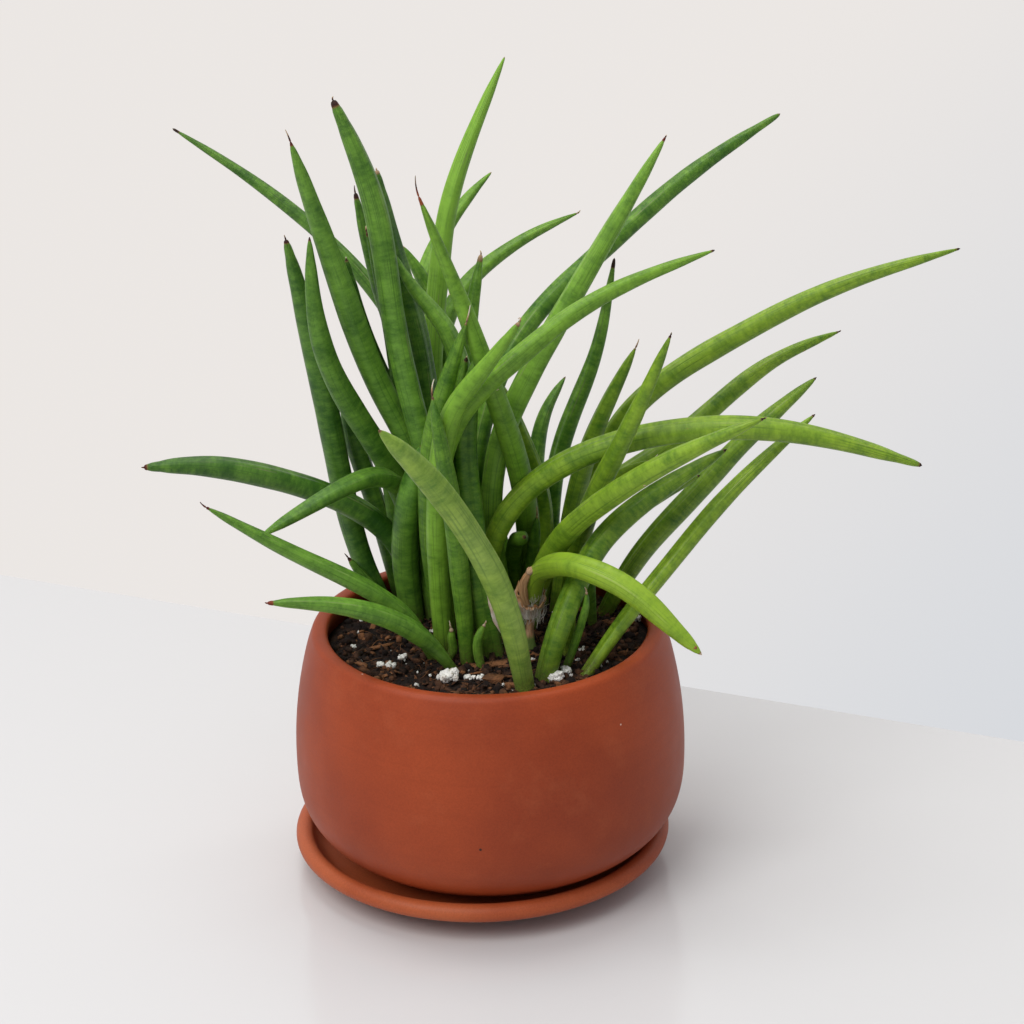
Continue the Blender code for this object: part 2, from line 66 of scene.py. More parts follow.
def turn_on_wheel(name, stations, centre, around, closed=False):
    """Draw a ring of clay out through stations of (radius, height), in millimetres."""
    bpy.ops.object.select_all(action="DESELECT")
    radius, height = stations[0]
    start = (centre[0], centre[1], centre[2] + height * MM)
    bpy.ops.mesh.primitive_circle_add(vertices=around, radius=radius * MM, location=start)
    piece = bpy.context.object
    piece.name = piece.data.name = name
    bpy.ops.object.mode_set(mode="EDIT")
    bpy.ops.mesh.select_all(action="SELECT")
    for (r0, h0), (r1, h1) in zip(stations, stations[1:]):
        rise = (0.0, 0.0, (h1 - h0) * MM)
        bpy.ops.mesh.extrude_edges_move(TRANSFORM_OT_translate={"value": rise})
        middle = (centre[0], centre[1], centre[2] + h1 * MM)
        bpy.ops.transform.resize(value=(r1 / r0, r1 / r0, 1.0), center_override=middle)
    bpy.ops.mesh.select_all(action="SELECT")
    bpy.ops.mesh.remove_doubles(threshold=MERGE_DISTANCE)
    if not closed:
        bpy.ops.mesh.select_all(action="DESELECT")
        bpy.ops.mesh.select_non_manifold()
        bpy.ops.mesh.fill_holes(sides=0)
    bpy.ops.mesh.select_all(action="SELECT")
    bpy.ops.mesh.normals_make_consistent(inside=False)
    bpy.ops.object.mode_set(mode="OBJECT")
    bpy.ops.object.transform_apply(location=True, rotation=True, scale=True)
    bpy.ops.object.shade_smooth()
    return piece


def soften(piece, levels):
    """Round a piece off with an applied subdivision surface."""
    finish = piece.modifiers.new("soften", "SUBSURF")
    finish.levels = finish.render_levels = levels
    bpy.context.view_layer.objects.active = piece
    bpy.ops.object.modifier_apply(modifier=finish.name)


def add_node(tree, kind, inputs=None, **settings):
    """Add a shader node. Inputs are values or the sockets that feed them."""
    made = tree.nodes.new("ShaderNode" + kind)
    for key, value in settings.items():
        setattr(made, key, value)
    for key, value in (inputs or {}).items():
        if isinstance(value, bpy.types.NodeSocket):
            tree.links.new(value, made.inputs[key])
        else:
            made.inputs[key].default_value = value
    return made


def calculate(tree, operation, a, b=0.0, c=0.0):
    """The socket of a Math node."""
    return add_node(tree, "Math", {0: a, 1: b, 2: c}, operation=operation).outputs[0]


def times(tree, a, b):
    """The product of two sockets or values."""
    return calculate(tree, "MULTIPLY", a, b)


def plus(tree, a, b):
    """The sum of two sockets or values."""
    return calculate(tree, "ADD", a, b)


def blend(tree, factor, a, b, kind="MIX"):
    """The socket of a Mix Color node."""
    made = add_node(tree, "Mix", {0: factor, 6: a, 7: b}, data_type="RGBA", blend_type=kind)
    return made.outputs[2]


def spread(tree, value, low, high, to_low=0.0, to_high=1.0):
    """Stretch a value from one range to another, smoothly and without passing its ends."""
    inputs = {"Value": value, "From Min": low, "From Max": high,
              "To Min": to_low, "To Max": to_high}
    return add_node(tree, "MapRange", inputs, interpolation_type="SMOOTHSTEP").outputs[0]


def grain(tree, vector, scale, detail=4.0, roughness=0.55):
    """The value of a noise texture."""
    inputs = {"Vector": vector, "Scale": scale, "Detail": detail, "Roughness": roughness}
    return add_node(tree, "TexNoise", inputs).outputs["Fac"]


def object_place(tree):
    """The socket of a piece's own coordinates."""
    return add_node(tree, "TexCoord").outputs["Object"]


def read_attribute(tree, name, output):
    """The socket of a value that a piece's mesh carries."""
    return add_node(tree, "Attribute", attribute_name=name).outputs[output]


def new_group(name, **inputs):
    """An empty node group, and the sockets that its named inputs come from."""
    group = bpy.data.node_groups.new(name, "ShaderNodeTree")
    for label, kind in inputs.items():
        group.interface.new_socket(name=label, in_out="INPUT", socket_type="NodeSocket" + kind)
    return group, group.nodes.new("NodeGroupInput").outputs


def put_out(group, colour, roughness, height):
    """Give a group its outputs: a colour, a roughness and a relief."""
    outputs = {"Color": colour, "Roughness": roughness, "Height": height}
    for label in outputs:
        kind = "Color" if label == "Color" else "Float"
        group.interface.new_socket(name=label, in_out="OUTPUT", socket_type="NodeSocket" + kind)
    result = group.nodes.new("NodeGroupOutput")
    for label, socket in outputs.items():
        group.links.new(socket, result.inputs[label])
    return group


def scattered_dots(tree, place, scale, size, share):
    """A mask of small round dots, of which only some are kept."""
    cells = add_node(tree, "TexVoronoi", {"Vector": place, "Scale": scale})
    dot = spread(tree, cells.outputs["Distance"], size, size * 0.5)
    pick = add_node(tree, "SeparateColor", {0: cells.outputs["Color"]}).outputs[0]
    return times(tree, dot, calculate(tree, "GREATER_THAN", pick, 1.0 - share))


def make_clay_group():
    """Fired red clay: cloudy tones, turning lines, fine grain, pale specks and dark pits."""
    group, given = new_group("fired clay", Body="Color", Shade="Color", Bloom="Color")
    place = object_place(group)
    cloud = grain(group, place, 16.0, 3.0)
    smear = grain(group, place, 60.0, 6.0, 0.65)
    flat = add_node(group, "Mapping", {"Vector": place, "Scale": (6.0, 6.0, 420.0)}).outputs[0]
    lines = grain(group, flat, 1.0, 3.0, 0.6)
    dust = grain(group, place, 1400.0, 2.0, 0.7)
    colour = blend(group, spread(group, cloud, 0.35, 0.70), given["Body"], given["Shade"])
    patches = times(group, spread(group, smear, 0.50, 0.75), 0.30)
    colour = blend(group, patches, colour, given["Bloom"])
    streaks = times(group, spread(group, lines, 0.45, 0.75), 0.22)
    colour = blend(group, streaks, colour, given["Shade"])
    grit = spread(group, dust, 0.3, 0.7, 0.91, 1.08)
    grit_colour = add_node(group, "CombineColor", {0: grit, 1: grit, 2: grit}).outputs[0]
    colour = blend(group, 1.0, colour, grit_colour, "MULTIPLY")
    specks = scattered_dots(group, place, 210.0, 0.10, 0.03)
    colour = blend(group, specks, colour, (0.75, 0.60, 0.50, 1.0))
    pits = scattered_dots(group, place, 75.0, 0.055, 0.10)
    colour = blend(group, pits, colour, (0.035, 0.012, 0.008, 1.0))
    wear = plus(group, times(group, smear, 0.22), times(group, dust, 0.10))
    ridges = plus(group, times(group, lines, 0.35), times(group, dust, 0.30))
    return put_out(group, colour, plus(group, wear, 0.34),
                   calculate(group, "SUBTRACT", ridges, pits))


def finish_with(name, group, values, bump, specular):
    """A Principled material whose colour, roughness and relief come from a group."""
    material = bpy.data.materials.new(name)
    material.use_nodes = True
    tree = material.node_tree
    shader = tree.nodes["Principled BSDF"]
    source = tree.nodes.new("ShaderNodeGroup")
    source.node_tree = group
    for label, value in values.items():
        source.inputs[label].default_value = (*value, 1.0) if isinstance(value, tuple) else value
    relief = add_node(tree, "Bump", {"Height": source.outputs["Height"]})
    relief.inputs["Distance"].default_value = bump * MM
    relief.inputs["Strength"].default_value = RELIEF_STRENGTH
    tree.links.new(source.outputs["Color"], shader.inputs["Base Color"])
    tree.links.new(source.outputs["Roughness"], shader.inputs["Roughness"])
    tree.links.new(relief.outputs["Normal"], shader.inputs["Normal"])
    shader.inputs["Specular IOR Level"].default_value = specular
    return material


def stands_for(piece, material, slot, *nodes):
    """Give a piece its material, hang it on the root body, and hide the CAD nodes it stands for."""
    piece.data.materials.clear()
    piece.data.materials.append(material)
    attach(piece, "root")
    if nodes:
        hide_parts(*nodes)


clay_group = make_clay_group()
saucer_clay = finish_with(
    "saucer_clay", clay_group,
    {"Body": (0.430, 0.100, 0.034), "Shade": (0.320, 0.058, 0.018),
     "Bloom": (0.510, 0.150, 0.062)}, bump=0.08, specular=0.25)
saucer_low, saucer_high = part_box("saucer")
saucer_place = ((saucer_low.x + saucer_high.x) / 2, (saucer_low.y + saucer_high.y) / 2, 0.0)
saucer_stations = [
    (0.6, 0.4), (12.0, 0.4), (46.0, 0.4), (47.2, 0.1), (48.0, 0.0), (50.0, 0.0), (51.5, 0.3),
    (56.0, 1.9), (64.0, 4.9), *rolled_lip(SAUCER_LIP_MIDDLE, SAUCER_LIP_RADIUS, -50, 165, 11),
    (66.6, 12.4), (64.5, 9.6), (62.0, 7.9), (59.0, 7.1), (55.0, 6.7), (30.0, 6.6), (0.6, 6.6)]
saucer = turn_on_wheel("clay_saucer", saucer_stations, saucer_place, SAUCER_AROUND)
soften(saucer, 2)
stands_for(saucer, saucer_clay, "clay", "saucer")


# Pot ---------------------------------------------------------------------------------
# A round-bellied pot of the same red clay with a flat, softly rounded rim and one drain
# hole. It is thrown on a wheel, fired without a glaze, and stands loose in the saucer.

POT_FOOT, POT_BELLY, POT_MOUTH = 43.0, 76.2, 68.0
POT_BELLY_HEIGHT, POT_HEIGHT = 43.6, 94.4
POT_WALL, POT_FLOOR, DRAIN_HOLE = 6.4, 8.0, 6.0
POT_AROUND = 72
BELLY_CURVE, SHOULDER_CURVE = 3.7, 2.0


def pot_radius(height):
    """The pot's outer radius at a height above its foot."""
    if height < POT_BELLY_HEIGHT:
        share = 1.0 - height / POT_BELLY_HEIGHT
        return POT_FOOT + (POT_BELLY - POT_FOOT) * (1.0 - share ** BELLY_CURVE)
    share = (height - POT_BELLY_HEIGHT) / (POT_HEIGHT - POT_BELLY_HEIGHT)
    return POT_BELLY - (POT_BELLY - POT_MOUTH) * share ** SHOULDER_CURVE


pot_low, pot_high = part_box("pot")
pot_place = ((pot_low.x + pot_high.x) / 2, (pot_low.y + pot_high.y) / 2, pot_low.z)
outer_wall = [(pot_radius(z), z)
              for z in (1.5, 3, 5, 8, 12, 17, 23, 30, 37, 44, 51, 58, 66, 74, 82, 88)]
inner_wall = [(pot_radius(z) - POT_WALL, z) for z in (86, 78, 66, 52, 38, 26, 18, 12)]
pot_stations = [
    (DRAIN_HOLE, 0.4), (DRAIN_HOLE + 1.0, 0.0), (30.0, 0.0), (POT_FOOT - 2.0, 0.0),
    (POT_FOOT - 0.3, 0.4), *outer_wall, (68.7, 91.2), (68.2, 92.8), (67.5, 93.8), (66.4, 94.3),
    (65.0, 94.4), (63.6, 94.3), (62.5, 93.9), (61.9, 93.1), (61.7, 91.8), (62.1, 89.5),
    *inner_wall, (42.0, POT_FLOOR), (20.0, POT_FLOOR), (DRAIN_HOLE + 1.0, POT_FLOOR),
    (DRAIN_HOLE, POT_FLOOR - 0.4), (DRAIN_HOLE, 0.4)]
pot = turn_on_wheel("clay_pot", pot_stations, pot_place, POT_AROUND, closed=True)
soften(pot, 2)
pot_clay = finish_with(
    "pot_clay", clay_group,
    {"Body": (0.338, 0.055, 0.014), "Shade": (0.255, 0.038, 0.010),
     "Bloom": (0.400, 0.092, 0.034)}, bump=0.08, specular=0.25)
stands_for(pot, pot_clay, "clay", "pot")


# Potting soil ------------------------------------------------------------------------
# A loose, dark bark mix, filled to just under the rim and pressed by hand. Crumbs, white
# perlite, bark chips and fibres lie on it.

SOIL_LEVEL, SOIL_FOOT, SOIL_EDGE = 93.1, 15.4, 61.0
SOIL_AROUND, SOIL_RINGS = 160, 46
PLUG_GAP = 0.4               # between the soil and the pot's wall
CRUMBS, CHIPS, FIBRES = 4200, 230, 260


def soil_height(x, y):
    """The height of the soil's uneven surface, in millimetres, at a place from the pot's axis."""
    broad = noise.noise(Vector((x / 22.0, y / 22.0, 3.1)))
    lumps = noise.noise(Vector((x / 6.0, y / 6.0, 8.4)))
    crumbs = noise.noise(Vector((x / 2.2, y / 2.2, 5.7)))
    return SOIL_LEVEL + 0.9 * broad + 0.9 * lumps + 0.5 * crumbs


def make_soil_group():
    """Bark mix: a per-crumb tone, broken up by grain."""
    group, given = new_group("bark mix", Dark="Color", Brown="Color", Rust="Color")
    place = object_place(group)
    tone = read_attribute(group, "tone", "Fac")
    coarse = grain(group, place, 170.0, 4.0, 0.65)
    fine = grain(group, place, 900.0, 5.0, 0.7)
    mixed = plus(group, tone, calculate(group, "MULTIPLY_ADD", coarse, 1.1, -0.55))
    colour = blend(group, spread(group, mixed, 0.15, 0.60), given["Dark"], given["Brown"])
    colour = blend(group, spread(group, mixed, 0.60, 0.95), colour, given["Rust"])
    colour = blend(group, spread(group, fine, 0.45, 0.80, 0.0, 0.5), colour, given["Dark"])
    rough = spread(group, fine, 0.2, 0.8, 0.75, 1.0)
    return put_out(group, colour, rough, plus(group, coarse, fine))


soil_group = make_soil_group()
soil_finish = finish_with(
    "bark_mix", soil_group,
    {"Dark": (0.009, 0.005, 0.004), "Brown": (0.068, 0.030, 0.016),
     "Rust": (0.235, 0.100, 0.042)}, bump=0.6, specular=0.25)
axis_x, axis_y = pot_place[0] / MM, pot_place[1] / MM
plug = [(pot_radius(z) - POT_WALL - PLUG_GAP, z + pot_low.z / MM)
        for z in (9, 12, 17, 24, 34, 48, 62, 76, 83)]
top_rings = [(SOIL_EDGE * (1.0 - k / SOIL_RINGS), SOIL_LEVEL - 0.3 * (k == 0))
             for k in range(SOIL_RINGS)]
soil_stations = [(0.6, SOIL_FOOT), (30.0, SOIL_FOOT), *plug, *top_rings, (0.6, SOIL_LEVEL)]
soil = turn_on_wheel("potting_mix", soil_stations, (*pot_place[:2], 0.0), SOIL_AROUND)
for vertex in soil.data.vertices:
    x, y = vertex.co.x / MM - axis_x, vertex.co.y / MM - axis_y
    if vertex.co.z > (SOIL_LEVEL - 1.0) * MM:
        vertex.co.z = soil_height(x, y) * MM
soil_tone = soil.data.attributes.new("tone", "FLOAT", "POINT")
soil_tone.data.foreach_set("value", np.full(len(soil.data.vertices), 0.25, dtype=np.float32))
stands_for(soil, soil_finish, "soil", "potting_soil")


def read_shape(piece):
    """Take a small modelled shape's points and faces, and put the shape away."""
    points = np.array([v.co for v in piece.data.vertices], dtype=float)
    faces = [tuple(f.vertices) for f in piece.data.polygons]
    bpy.data.objects.remove(piece, do_unlink=True)
    return points, faces


def strew(name, shape, spots, roughen, chance):
    """Copy one small shape to many spots of (place, size, turn, tone), all in one mesh."""
    points, faces = shape
    all_points, all_faces, tones = [], [], []
    for place, size, turn, tone in spots:
        bumps = np.array([1.0 + roughen * (chance.random() - 0.5) for _ in points])
        matrix = np.array(Euler(turn).to_matrix())
        moved = (points * bumps[:, None] * np.array(size)) @ matrix.T + np.array(place)
        start = len(points) * len(tones)
        all_points.append(moved * MM)
        all_faces += [tuple(start + k for k in face) for face in faces]
        tones.append(tone)
    mesh = bpy.data.meshes.new(name)
    mesh.from_pydata(np.concatenate(all_points).tolist(), [], all_faces)
    attribute = mesh.attributes.new("tone", "FLOAT", "POINT")
    attribute.data.foreach_set("value", np.repeat(np.array(tones, dtype=np.float32), len(points)))
    piece = bpy.data.objects.new(name, mesh)
    bpy.context.scene.collection.objects.link(piece)
    for face in mesh.polygons:
        face.use_smooth = True
    return piece


def soil_spot(chance, reach, lift):
    """A random place on the soil, in millimetres."""
    distance, angle = reach * math.sqrt(chance.random()), chance.uniform(0.0, 2.0 * math.pi)
    x, y = distance * math.cos(angle), distance * math.sin(angle)
    return (x + axis_x, y + axis_y, soil_height(x, y) + lift)


def uneven(chance, size, low, high):
    """Three sizes, each a random share of one."""
    return tuple(size * chance.uniform(low, high) for _ in range(3))


def any_turn(chance):
    return tuple(chance.uniform(-math.pi, math.pi) for _ in range(3))


def flat_turn(chance, tilt):
    return (chance.uniform(-tilt, tilt), chance.uniform(-tilt, tilt),
            chance.uniform(-math.pi, math.pi))


chance = random.Random(11)
bpy.ops.object.select_all(action="DESELECT")
bpy.ops.mesh.primitive_ico_sphere_add(subdivisions=1, radius=1.0)
crumb_shape = read_shape(bpy.context.object)
crumb_spots = []
for _ in range(CRUMBS):
    size = 0.30 + 1.7 * chance.random() ** 3.2
    sizes = uneven(chance, size, 0.5, 1.3)
    tone = min(1.0, 0.05 + 0.80 * chance.random() ** 1.5)
    crumb_spots.append((soil_spot(chance, 59.5, size * 0.2), sizes, any_turn(chance), tone))
crumbs = strew("soil_crumbs", crumb_shape, crumb_spots, 0.7, chance)
stands_for(crumbs, soil_finish, "soil")

bpy.ops.object.select_all(action="DESELECT")
bpy.ops.mesh.primitive_cube_add(size=2.0)
bpy.ops.object.mode_set(mode="EDIT")
bpy.ops.mesh.subdivide(number_cuts=1)
bpy.ops.object.mode_set(mode="OBJECT")
chip_shape = read_shape(bpy.context.object)
chip_spots = []
for _ in range(CHIPS):
    length = chance.uniform(0.8, 3.2) if chance.random() < 0.9 else chance.uniform(3.2, 6.5)
    sizes = (length, chance.uniform(0.3, 1.2), chance.uniform(0.15, 0.5))
    chip_spots.append((soil_spot(chance, 54.0, 0.6), sizes, flat_turn(chance, 0.5),
                       0.35 + 0.65 * chance.random() ** 1.5))
# The long chips that show at the front: place from the pot's axis, length, width and turn.
for x, y, length, width, turn in ((0, -22, 7.5, 1.6, 0.05), (2, -36, 4.0, 2.2, -0.5),
                                  (10, -41, 5.0, 0.8, -0.35), (48, 2, 6.0, 1.6, 0.5),
                                  (-44, -5, 7.0, 0.7, 0.35), (52, 12, 5.0, 1.4, -0.2),
                                  (-38, 22, 7.0, 1.4, 0.5), (-48, -21, 3.2, 0.9, -0.8)):
    place = (x + axis_x, y + axis_y, soil_height(x, y) + 0.9)
    chip_spots.append((place, (length, width, 0.45), (0.15, -0.08, turn), 0.92))
chips = strew("bark_chips", chip_shape, chip_spots, 0.7, chance)
stands_for(chips, soil_finish, "soil")

bpy.ops.object.select_all(action="DESELECT")
bpy.ops.mesh.primitive_cylinder_add(vertices=5, radius=1.0, depth=2.0)
bpy.ops.object.mode_set(mode="EDIT")
for cut in range(1, 8):
    bpy.ops.mesh.select_all(action="SELECT")
    bpy.ops.mesh.bisect(plane_co=(0, 0, cut / 4 - 1), plane_no=(0, 0, 1))
bpy.ops.object.mode_set(mode="OBJECT")
fibre = bpy.context.object
for vertex in fibre.data.vertices:
    height = vertex.co.z
    swing = 1.0 - 0.6 * abs(height)
    vertex.co.x = vertex.co.x * swing + 9.0 * math.sin(height * 1.9)
    vertex.co.y = vertex.co.y * swing + 4.0 * math.cos(height * 2.6)
fibre_shape = read_shape(fibre)
fibre_spots = []
for _ in range(FIBRES):
    thickness = chance.uniform(0.08, 0.17)
    sizes = (thickness, thickness, chance.uniform(1.2, 5.0))
    turn = (math.pi / 2 + chance.uniform(-0.3, 0.3), chance.uniform(-0.5, 0.5),
            chance.uniform(-math.pi, math.pi))
    fibre_spots.append((soil_spot(chance, 53.0, 0.8), sizes, turn, chance.uniform(0.4, 1.0)))
fibres = strew("coir_fibres", fibre_shape, fibre_spots, 0.0, chance)
stands_for(fibres, soil_finish, "soil")


# Perlite -----------------------------------------------------------------------------
# Popped volcanic glass: light, white, crumbly lumps that keep the mix airy. The biggest
# ones have worked their way up to the surface.

BITS_PER_LUMP, LOOSE_BITS = 22, 70


def make_perlite_group():
    """White foam with soil rubbed into its hollows."""
    group, given = new_group("popped glass", White="Color", Grime="Color")
    place = object_place(group)
    pores = add_node(group, "TexVoronoi", {"Vector": place, "Scale": 1100.0}).outputs["Distance"]
    cloud = grain(group, place, 420.0, 5.0, 0.65)
    grime = spread(group, cloud, 0.50, 0.68, 0.0, 0.8)
    colour = blend(group, grime, given["White"], given["Grime"])
    return put_out(group, colour, spread(group, cloud, 0.2, 0.8, 0.7, 0.95),
                   plus(group, pores, cloud))


perlite_finish = finish_with(
    "perlite_white", make_perlite_group(),
    {"White": (0.80, 0.79, 0.76), "Grime": (0.30, 0.22, 0.14)}, bump=0.45, specular=0.3)
bpy.ops.object.select_all(action="DESELECT")
bpy.ops.mesh.primitive_ico_sphere_add(subdivisions=2, radius=1.0)
lump_shape = read_shape(bpy.context.object)
# Place from the pot's axis and width, in millimetres.
large_lumps = [
    (-15, -36, 7.8), (-18, -34, 4.0), (-3, -34, 3.4), (-6, -33, 2.0), (-8, -33, 3.2),
    (25, -37, 6.4), (29, -31, 4.6), (31, -32, 1.6), (34, -19, 1.6), (36, -12, 3.0),
    (42, -25, 2.2), (45, -22, 1.3), (17, -17, 2.0), (58, 16, 5.4), (-49, 23, 3.6),
    (-41, -21, 3.4), (-37, -22, 4.8), (-33, -15, 3.7), (-25, -13, 1.6), (-22, 10, 2.6),
    (-27, -39, 2.2), (5, -40, 1.8), (38, 44, 3.0), (-52, -1, 2.2)]
lump_spots = []
for x, y, width in large_lumps:
    for _ in range(BITS_PER_LUMP):
        size = width * chance.uniform(0.11, 0.25)
        shift = [chance.uniform(-0.30, 0.30) * width for _ in range(2)]
        rise = width * chance.uniform(0.12, 0.46)
        place = (x + shift[0] + axis_x, y + shift[1] + axis_y, soil_height(x, y) + rise)
        lump_spots.append((place, uneven(chance, size, 0.8, 1.2), any_turn(chance), 1.0))
for _ in range(LOOSE_BITS):
    size = 0.2 + 0.6 * chance.random() ** 2
    sizes = uneven(chance, size, 0.7, 1.2)
    lump_spots.append((soil_spot(chance, 56.0, size * 0.5), sizes, any_turn(chance), 1.0))
perlite = strew("perlite_lumps", lump_shape, lump_spots, 0.7, chance)
stands_for(perlite, perlite_finish, "soil")


# Leaves ------------------------------------------------------------------------------
# Firm, juicy leaves, as round as a pencil, with a shallow channel on the upper side. Dark
# lines run along them and cloudy light bands across. The end of each has dried to a brown
# point, often with a thread.

LEAF_AROUND = 28
LEAF_ALONG = 96
THREAD_ALONG = 14
CAD_SIDES = 8
CHANNEL_PULL = 0.083         # how far the channel pulls the middle of a ring's corners off its axis
CHANNEL_DEPTHS = (0.34, 0.22, 0.05)     # at the foot, past the middle and at the tip
CHANNEL_WIDTH, MARGIN_ANGLE = 0.42, 0.80    # in radians round the leaf
BLUNT_POINT, SHARP_POINT, SHOOT_POINT = 0.30, 0.55, 0.60
THREAD_RADII = (0.36, 0.12)
SCAR_THICKNESS = 0.14
SKIN_MERGE_DISTANCE = 0.000002
ROOT_DEPTH = 3.0             # how far a leaf goes on below the soil's surface


def cad_rings(node):
    """The rings of a CAD leaf from foot to tip: centres, radii and channel directions, in mm."""
    shell = bmesh.new()
    shell.from_mesh(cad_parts[node].data)
    bmesh.ops.remove_doubles(shell, verts=shell.verts, dist=0.00001)
    for tip in shell.verts:
        layers, seen = [{tip}], {tip}
        while layers[-1]:
            reached = {e.other_vert(v) for v in layers[-1] for e in v.link_edges} - seen
            seen |= reached
            layers.append(reached)
        if all(len(layer) == CAD_SIDES for layer in layers[1:-1]):
            break
    centres, radii, uppers = [], [], []
    for layer in layers[-2:0:-1]:
        points = np.array([v.co for v in layer]) / MM
        middle = points.mean(axis=0)
        channel = points[np.argmin(np.linalg.norm(points - middle, axis=1))]
        centre = middle + CHANNEL_PULL * (channel - middle)
        reach = np.sort(np.linalg.norm(points - centre, axis=1))
        centres.append(centre)
        radii.append(reach[1])
        uppers.append((channel - centre) / np.linalg.norm(channel - centre))
    centres.append(np.array(tip.co) / MM)
    radii.append(0.0)
    uppers.append(uppers[-1])
    shell.free()
    return np.array(centres), np.array(radii), np.array(uppers)


def step_lengths(path):
    """The distance along a path at each of its points."""
    return np.concatenate([[0.0], np.cumsum(np.linalg.norm(np.diff(path, axis=0), axis=1))])


def fair_curve(points, places):
    """A natural cubic spline through rows of points, read at places from 0 to 1."""
    lengths = step_lengths(points[:, :3])
    spans = np.diff(lengths)
    slopes = np.diff(points, axis=0) / spans[:, None]
    system = np.eye(len(points))
    target = np.zeros_like(points)
    for k in range(1, len(points) - 1):
        system[k, k - 1:k + 2] = spans[k - 1], 2.0 * (spans[k - 1] + spans[k]), spans[k]
        target[k] = 6.0 * (slopes[k] - slopes[k - 1])
    bend = np.linalg.solve(system, target)
    spots = lengths[-1] * places
    k = np.clip(np.searchsorted(lengths, spots, side="right") - 1, 0, len(spans) - 1)
    along = (spots - lengths[k])[:, None]
    span = spans[k][:, None]
    start = slopes[k] - span * (2.0 * bend[k] + bend[k + 1]) / 6.0
    twist = (bend[k + 1] - bend[k]) / (6.0 * span)
    return points[k] + along * (start + along * (bend[k] / 2.0 + along * twist))


def read_along(spots, lengths, rows):
    """Rows of points or vectors, read at lengths along their path."""
    return np.stack([np.interp(spots, lengths, column) for column in rows.T], axis=-1)


def unit(rows):
    """Rows of vectors, each made one long."""
    return rows / np.linalg.norm(rows, axis=-1, keepdims=True)


def roll_up(name, path, radii, uppers, section, around, values, close=True):
    """Roll a flat grid into a tube along a path; section gives the radius factor at each angle."""
    rows = len(path)
    bpy.ops.object.select_all(action="DESELECT")
    bpy.ops.mesh.primitive_grid_add(x_subdivisions=around, y_subdivisions=rows - 1, size=1.0)
    piece = bpy.context.object
    piece.name = piece.data.name = name
    mesh = piece.data
    flat = np.zeros(len(mesh.vertices) * 3)
    mesh.vertices.foreach_get("co", flat)
    flat = flat.reshape(-1, 3)
    column = np.rint((flat[:, 0] + 0.5) * around).astype(int)
    row = np.rint((flat[:, 1] + 0.5) * (rows - 1)).astype(int)
    tangents = unit(np.gradient(path, axis=0))
    uppers = unit(uppers - tangents * (uppers * tangents).sum(axis=1, keepdims=True))
    sides = np.cross(tangents, uppers)
    angles = np.linspace(-math.pi, math.pi, around + 1)
    angles[-1] = angles[0]
    reach = radii[:, None] * section(angles[None], np.arange(rows)[:, None])
    skin = (path[:, None] + reach[..., None] * (np.cos(angles)[None, :, None] * uppers[:, None]
                                                + np.sin(angles)[None, :, None] * sides[:, None]))
    mesh.vertices.foreach_set("co", (skin[row, column] * MM).ravel())
    layer = mesh.uv_layers.active.data
    uv = np.zeros(len(layer) * 2)
    layer.foreach_get("uv", uv)
    uv = uv.reshape(-1, 2)
    uv[:, 1] = np.interp(uv[:, 1] * (rows - 1), np.arange(rows), step_lengths(path) / 100.0)
    layer.foreach_set("uv", uv.ravel())
    growth = np.column_stack([values[:, :3], np.ones(rows)])
    attribute = mesh.attributes.new("growth", "FLOAT_COLOR", "POINT")
    attribute.data.foreach_set("color", growth[row].astype(np.float32).ravel())
    attribute = mesh.attributes.new("ash", "FLOAT", "POINT")
    attribute.data.foreach_set("value", values[row, 3].astype(np.float32))
    bpy.ops.object.mode_set(mode="EDIT")
    bpy.ops.mesh.select_all(action="SELECT")
    bpy.ops.mesh.remove_doubles(threshold=SKIN_MERGE_DISTANCE)
    if close:
        bpy.ops.mesh.select_all(action="DESELECT")
        bpy.ops.mesh.select_non_manifold()
        bpy.ops.mesh.fill_holes(sides=0)
    bpy.ops.mesh.select_all(action="SELECT")
    bpy.ops.mesh.normals_make_consistent(inside=False)
    bpy.ops.object.mode_set(mode="OBJECT")
    bpy.ops.object.shade_smooth()
    return piece


def thread_path(tip, heading, length, curl, chance):
    """A dry thread that carries on from a leaf's tip and curls over."""
    points, direction = [tip], Vector(heading)
    axis = direction.cross(Vector((0.0, 1.0, 0.3))).normalized()
    axis = Matrix.Rotation(chance.uniform(-0.6, 0.6), 3, direction) @ axis
    for k in range(THREAD_ALONG):
        direction = Matrix.Rotation(curl / THREAD_ALONG, 3, axis) @ direction
        points.append(points[-1] + np.array(direction) * length / THREAD_ALONG)
    return np.array(points[1:])


